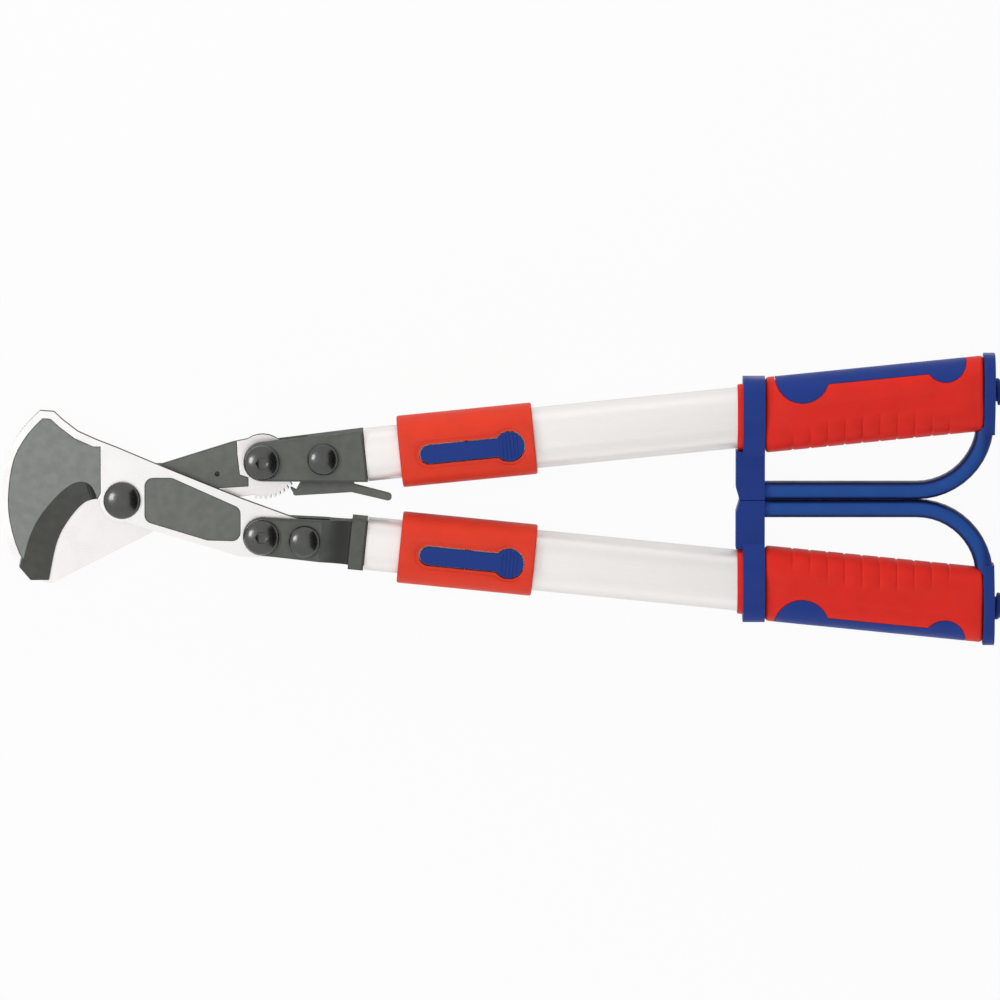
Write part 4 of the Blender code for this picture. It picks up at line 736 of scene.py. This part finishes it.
def moulded_material(name, colour, relief, size=FINE_GRAIN, front_and_shaded_flank=None):
    """Moulded plastic or rubber, with an optional stretch of (front colour, painted-shade flank colour,
    start, end).
    """
    material, tree, shader = new_material(name, specular=PLASTIC_SPECULAR)
    skin = add_group(tree, moulded_grain, Colour=colour, Size=size)
    if front_and_shaded_flank:
        front, flank, start, end = front_and_shaded_flank
        along = coordinate(tree, "Object", "X")
        facing = math_node(tree, "ABSOLUTE", coordinate(tree, "Normal", "Z"))
        # On the stretch, the front takes the lighter front colour and the flanks take the painted shade.
        loop_tones = mix_colour(tree, ramp(tree, facing, *FLANK_SHADE_FACING), flank, front)
        stretch = math_node(tree, "MULTIPLY", ramp(tree, along, start, start + LOOP_TONE_FADE),
                            ramp(tree, along, end, end - LOOP_TONE_FADE))
        tree.links.new(mix_colour(tree, stretch, colour, loop_tones), skin.inputs["Colour"])
    tree.links.new(skin.outputs["Colour"], shader.inputs["Base Color"])
    tree.links.new(skin.outputs["Roughness"], shader.inputs["Roughness"])
    add_bump(tree, shader, skin.outputs["Height"], relief)
    return material


grey_plastic = moulded_material("grey_plastic", GUIDE_GREY, SMOOTH_RELIEF)
finish_solid("upper_tube_guide", grey_plastic, GUIDE_EDGE)
finish_solid("lower_tube_guide", grey_plastic, GUIDE_EDGE)

# Lock sleeves: red moulded plastic on the end of each outer tube, closing down on the inner one. A keyhole
# window in front takes the lever, and a step in the surface follows the window round.
SLEEVE_U = 0.1593
SLEEVE_END_U = 0.2366
SLEEVE_HEIGHT = 0.0411
SLEEVE_FRONT = 0.0180
SLEEVE_REAR = 0.0157
SLEEVE_ROUNDING = 0.0012
SLEEVE_STEP = 0.00045
STEP_MARGIN = 0.0030          # from the window to the step
INNER_TUBE = (0.0307, 0.0210)
OUTER_TUBE = (0.0349, 0.0252)
SLEEVE_COLLAR = 0.0087
LEVER_U = 0.1711
PAD_U = 0.2221
LEVER_WIDTH = 0.0102
PAD_RADIUS = 0.0084
PAD_GROWTH = 0.8              # the pad's outline grows by this share of what the bar's does
LEVER_PLAY = 0.0008
LEVER_SHIFT = -0.0018         # the same way across the tool on both handles
LEVER_TOP = 0.0173
WINDOW_FLOOR = 0.0105
CUT_TOP = 0.03                # above everything on a handle
BORE_OVERRUN = 0.01
OVAL_STEPS = 10               # along an oval's straight sides
ROUNDING_STEPS = 6            # round a quarter circle
SLEEVE_EDGE = 0.0003
SLEEVE_SHADING = 35.0
SATIN_RELIEF = 0.00003
SLEEVE_RED = linear(215, 61, 42)


def arc(center, radius, start, end, steps):
    """Points on a circle, from one angle in degrees to another."""
    angles = [math.radians(start + (end - start) * step / steps) for step in range(steps + 1)]
    return [(center[0] + radius * math.cos(angle), center[1] + radius * math.sin(angle)) for angle in angles]


def oval(height, width, steps=24):
    """An oval of two half circles and two straights, as points (v, w); its height lies along v."""
    straight = (height - width) / 2
    upper = [(straight - 2 * straight * step / OVAL_STEPS, width / 2) for step in range(1, OVAL_STEPS)]
    lower = [(-v, -w) for v, w in upper]
    outer = arc((straight, 0), width / 2, -90, 90, steps)
    inner = arc((-straight, 0), width / 2, 90, 270, steps)
    return outer + upper + inner + lower


def prism(outline, bottom, top):
    """An outline in a handle's u and v, raised between two heights."""
    return loft([[(u, v, w) for u, v in outline] for w in (bottom, top)])


def along_handle(stations, slant=0.0):
    """A solid along a handle through (u, height, width, lift) ovals; a slant leans them along the tool."""
    return loft([[(u + v * slant, v, w + lift) for v, w in oval(height, width)]
                 for u, height, width, lift in stations])


def rounded_run(start, end, rounding):
    """Places along a run with rounded ends, each with how much smaller the section is there."""
    angles = [math.radians(90 * step / ROUNDING_STEPS) for step in range(ROUNDING_STEPS + 1)]
    first = [(start + rounding * (1 - math.sin(a)), rounding * (1 - math.cos(a))) for a in reversed(angles)]
    last = [(end - rounding * (1 - math.sin(a)), rounding * (1 - math.cos(a))) for a in angles]
    return first + last


def room_for(tube):
    """A tube's height and width with a gap all round, and no lift."""
    return [size + 2 * SEAT_GAP for size in tube] + [0]


def sleeve_blank(inset):
    """The sleeve's outer shape with rounded ends, or the same shape drawn in by an inset."""
    lift = (SLEEVE_FRONT - SLEEVE_REAR) / 2
    width = SLEEVE_FRONT + SLEEVE_REAR
    return along_handle([(u, SLEEVE_HEIGHT - 2 * (less + inset), width - 2 * (less + inset), lift)
                         for u, less in rounded_run(SLEEVE_U, SLEEVE_END_U, SLEEVE_ROUNDING)])


def keyhole(shift, grow, bottom):
    """The lever's outline, slim bar and round pad, grown all round, as a cutter from a height upward."""
    half = LEVER_WIDTH / 2 + grow
    pad = PAD_RADIUS + grow * PAD_GROWTH
    meet = math.degrees(math.asin(half / pad))
    outline = arc((LEVER_U + LEVER_WIDTH / 2, shift), half, 90, 270, steps=20)
    outline += arc((PAD_U, shift), pad, meet - 180, 180 - meet, steps=40)
    return prism(outline, bottom, CUT_TOP)


red_sleeve = moulded_material("red_sleeve", SLEEVE_RED, SATIN_RELIEF)
for side, prefix in HANDLES:
    shift = side * LEVER_SHIFT
    narrow = room_for(INNER_TUBE)
    wide = room_for(OUTER_TUBE)
    step_u = SLEEVE_U + SLEEVE_COLLAR
    bore = along_handle([(SLEEVE_U - BORE_OVERRUN, *narrow), (step_u, *narrow), (step_u, *wide),
                         (SLEEVE_END_U + BORE_OVERRUN, *wide)])
    step = combine(keyhole(shift, STEP_MARGIN, 0.0), sleeve_blank(SLEEVE_STEP), "DIFFERENCE")
    sleeve = combine(sleeve_blank(0.0), step, "DIFFERENCE")
    sleeve = combine(sleeve, keyhole(shift, LEVER_PLAY, WINDOW_FLOOR), "DIFFERENCE")
    sleeve = place_on_handle(combine(sleeve, bore, "DIFFERENCE"), side)
    piece = new_piece(prefix + "moulded_sleeve", sleeve, red_sleeve, "red_plastic", prefix + "slide",
                      prefix + "lock_sleeve")
    round_edges(piece, SLEEVE_EDGE, degrees=SLEEVE_SHADING)
    shade_smooth(piece, SLEEVE_SHADING)

# Lock levers: blue plastic rockers in the sleeves' windows, each on a steel hinge pin, with grip ribs across
# the round thumb pad. A steel lock pin stands under the slim end, and a small coil of wire under the pad.
RIB_COUNT = 5
RIB_SPACING = 0.0021
RIB_HEIGHT = 0.0004
RIB_HALF_WIDTH = 0.0005
RIB_MARGIN = 0.0010           # from the ribs' ends to the pad's rim
RIB_EDGE = 0.0003
RIB_SHADING = 40.0
LEVER_EDGE = 0.0005
PIN_EDGE = 0.0002
LOCK_SPRING_SEAT = 0.0129
LOCK_SPRING_RADIUS = 0.0030
LOCK_SPRING_WIRE = 0.00022
LOCK_SPRING_TURNS = 1.75
LOCK_SPRING_LENGTH = 0.0023
PLASTIC_BLUE = linear(33, 56, 127)
PIN_GREY = linear(88, 88, 86)


def rib_bars(shift):
    """The ribs across a lever's pad, in one shape: bars with round ends, as long as the pad lets them be."""
    ribs = bmesh.new()
    for rib in range(RIB_COUNT):
        across = (rib - (RIB_COUNT - 1) / 2) * RIB_SPACING
        half_length = math.sqrt((PAD_RADIUS - RIB_MARGIN) ** 2 - across ** 2) - RIB_HALF_WIDTH
        outline = arc((PAD_U + across, shift + half_length), RIB_HALF_WIDTH, 0, 180, steps=8)
        outline += arc((PAD_U + across, shift - half_length), RIB_HALF_WIDTH, 180, 360, steps=8)
        bar = prism(outline, LEVER_TOP - RIB_HEIGHT, LEVER_TOP + RIB_HEIGHT)
        mesh = bpy.data.meshes.new("rib")
        bar.to_mesh(mesh)
        bar.free()
        ribs.from_mesh(mesh)
        bpy.data.meshes.remove(mesh)
    return ribs


blue_plastic = moulded_material("blue_plastic", PLASTIC_BLUE, SMOOTH_RELIEF)
pin_steel, tree, shader = new_material("pin_steel", roughness=0.4, metallic=1.0)
shader.inputs["Base Color"].default_value = PIN_GREY
for side, prefix in HANDLES:
    finish_solid(prefix + "lock_lever", blue_plastic, LEVER_EDGE)
    for name in ("lock_pin", "lock_hinge_pin"):
        finish_solid(prefix + name, pin_steel, PIN_EDGE)
    shift = side * LEVER_SHIFT
    ribs = place_on_handle(rib_bars(shift), side)
    piece = new_piece(prefix + "lever_ribs", ribs, blue_plastic, "blue_plastic", prefix + "lock")
    round_edges(piece, RIB_EDGE, segments=3, degrees=RIB_SHADING)
    shade_smooth(piece, RIB_SHADING)
    coil = coil_shape(LOCK_SPRING_RADIUS, LOCK_SPRING_WIRE, LOCK_SPRING_TURNS, LOCK_SPRING_LENGTH)
    bmesh.ops.translate(coil, verts=coil.verts, vec=(PAD_U, shift, LOCK_SPRING_SEAT))
    spring = new_piece(prefix + "lock_spring_coil", place_on_handle(coil, side), bright_steel, "bright_steel",
                       prefix + "slide", prefix + "lock_spring")
    shade_smooth(spring, COIL_SHADING)
    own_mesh(spring)

# Grips: red plastic moulded round the outer tubes, with a neck through the guard's ring. Ten shallow grooves
# run in from the inner edge, longest in the middle. The back is recessed for a soft blue inlay with two round
# lobes, moulded on in rubber.
GRIP_X = 0.3673               # the grips' ends lie square across the tool, measured from the main pivot
GRIP_END_X = 0.4915
GRIP_HEIGHT = 0.0431
GRIP_WIDTH = 0.0334
GRIP_ROUNDING = 0.0020
NECK_X = 0.3513
NECK = (0.0381, 0.0284)
NECK_ROUNDING = 0.0006
TUBE_ROOM = (0.30, 0.60)      # stretch of the handle that is bored out for the tube
GROOVE_COUNT = 10
GROOVE_X = 0.3830
GROOVE_SPACING = 0.00992
GROOVE_HALF_WIDTH = 0.0010
GROOVE_STEPS = 3              # from its middle to each edge
GROOVE_DEPTH = 0.0005
GROOVE_LENGTH = 0.0080        # at the ends of the row
GROOVE_SWELL = 0.0090         # how much longer the middle ones are
GROOVE_FADE = 0.002
INLAY_DEPTH = 0.0018
INLAY_STRIP = 0.0062
INLAY_START = 0.0075
INLAY_END = 0.0080
FRONT_LOBE = 0.0155
REAR_LOBE = 0.0118
GRIP_SHADING = 35.0
COARSE_GRAIN = 1900.0
RUBBER_RELIEF = 0.00005
GRIP_RED = linear(217, 45, 36)
RUBBER_BLUE = linear(33, 56, 128)


def grip_places():
    """Places along the grip: its rounded ends, every groove and the plain runs between."""
    places = rounded_run(GRIP_X, GRIP_END_X, GRIP_ROUNDING)
    for groove in range(GROOVE_COUNT):
        middle = GROOVE_X + groove * GROOVE_SPACING
        for step in range(-GROOVE_STEPS, GROOVE_STEPS + 1):
            places.append((middle + GROOVE_HALF_WIDTH * step / GROOVE_STEPS, 0.0))
    return sorted(places)


def groove_depth(x, v):
    """How far the grip's skin lies in at a place along it and a height across it."""
    groove = round((x - GROOVE_X) / GROOVE_SPACING)
    apart = abs(x - GROOVE_X - groove * GROOVE_SPACING) / GROOVE_HALF_WIDTH
    if apart >= 1 or not 0 <= groove < GROOVE_COUNT:
        return 0.0
    length = GROOVE_LENGTH + GROOVE_SWELL * math.sin(math.pi * (groove + 0.5) / GROOVE_COUNT)
    fade = min(max((length - GRIP_HEIGHT / 2 - v) / GROOVE_FADE, 0.0), 1.0)
    return GROOVE_DEPTH * fade * (1 + math.cos(math.pi * apart)) / 2


def grip_blank(inset, grooved):
    """The grip's outer shape, with or without its grooves, drawn in by an inset."""
    slant = math.tan(HANDLE_ANGLE)
    straight = (GRIP_HEIGHT - GRIP_WIDTH) / 2
    rings = []
    for x, less in grip_places():
        ring = []
        for v, w in oval(GRIP_HEIGHT - 2 * (less + inset), GRIP_WIDTH - 2 * (less + inset), steps=20):
            outward = Vector((v - min(max(v, -straight), straight), w)).normalized()
            depth = groove_depth(x, v) if grooved else 0.0
            u = x / math.cos(HANDLE_ANGLE) + v * slant
            ring.append((u, v - outward.x * depth, w - outward.y * depth))
        rings.append(ring)
    return loft(rings)


def inlay_prism(grow):
    """The inlay's outline, a strip along the outer edge with a round lobe near each end, as a tall prism."""
    start = GRIP_X / math.cos(HANDLE_ANGLE) + INLAY_START - grow
    end = GRIP_END_X / math.cos(HANDLE_ANGLE) - INLAY_END + grow
    edge = GRIP_HEIGHT / 2
    strip = INLAY_STRIP + grow
    front, rear = FRONT_LOBE + grow, REAR_LOBE + grow
    front_meet = math.degrees(math.asin(strip / front))
    rear_meet = math.degrees(math.asin(strip / rear))
    outline = arc((start + front, edge), front, 180, 360 - front_meet, steps=40)
    outline += arc((end - rear, edge), rear, 180 + rear_meet, 360, steps=36)
    outline += [(end, 2 * edge), (start, 2 * edge)]
    return prism(outline, -CUT_TOP, CUT_TOP)


red_grip = moulded_material("red_grip", GRIP_RED, SATIN_RELIEF)
blue_rubber = moulded_material("blue_rubber", RUBBER_BLUE, RUBBER_RELIEF, COARSE_GRAIN)
for side, prefix in HANDLES:
    neck_run = rounded_run(NECK_X, GRIP_X + 2 * GRIP_ROUNDING, NECK_ROUNDING)
    neck = along_handle([(x / math.cos(HANDLE_ANGLE), NECK[0] - 2 * less, NECK[1] - 2 * less, 0)
                         for x, less in neck_run], math.tan(HANDLE_ANGLE))
    tube_room = along_handle([(u, *room_for(OUTER_TUBE)) for u in TUBE_ROOM])
    recess = combine(inlay_prism(SEAT_GAP), grip_blank(INLAY_DEPTH + SEAT_GAP, False), "DIFFERENCE")
    grip = combine(grip_blank(0.0, True), neck, "UNION")
    grip = combine(grip, recess, "DIFFERENCE")
    grip = place_on_handle(combine(grip, tube_room, "DIFFERENCE"), side)
    piece = new_piece(prefix + "moulded_grip", grip, red_grip, "red_plastic", prefix + "slide",
                      prefix + "grip")
    shade_smooth(piece, GRIP_SHADING)
    inlay = combine(grip_blank(0.0, False), inlay_prism(0.0), "INTERSECT")
    inlay = place_on_handle(combine(inlay, grip_blank(INLAY_DEPTH, False), "DIFFERENCE"), side)
    piece = new_piece(prefix + "soft_inlay", inlay, blue_rubber, "blue_rubber", prefix + "slide",
                      prefix + "grip_inlay")
    shade_smooth(piece, GRIP_SHADING)

# Hand guards and end caps: blue plastic. Each guard is one moulding, a ring on the grip's neck, a finger loop
# along the middle line, lighter blue on its front with painted shade on its flanks, and an end plate.
# The cap's stem and head hold the end plate to the tube's end.
LOOP_START = 0.1500
LOOP_END = 0.2770
# The loop's front is a lighter blue; its flanks are painted shade.
LOOP_FRONT = linear(35, 76, 147)
LOOP_FLANK_PAINTED_SHADE = linear(24, 34, 82)
GUARD_EDGE = 0.0012
GUARD_EDGE_ANGLE = 40.0       # sharper edges than this are rounded
CAP_EDGE = 0.0004

guard_plastic = moulded_material("guard_plastic", PLASTIC_BLUE, SMOOTH_RELIEF,
                                 front_and_shaded_flank=(LOOP_FRONT, LOOP_FLANK_PAINTED_SHADE, LOOP_START, LOOP_END))
for side, prefix in HANDLES:
    finish_solid(prefix + "hand_guard", guard_plastic, GUARD_EDGE, degrees=GUARD_EDGE_ANGLE)
    finish_solid(prefix + "end_cap", blue_plastic, CAP_EDGE)
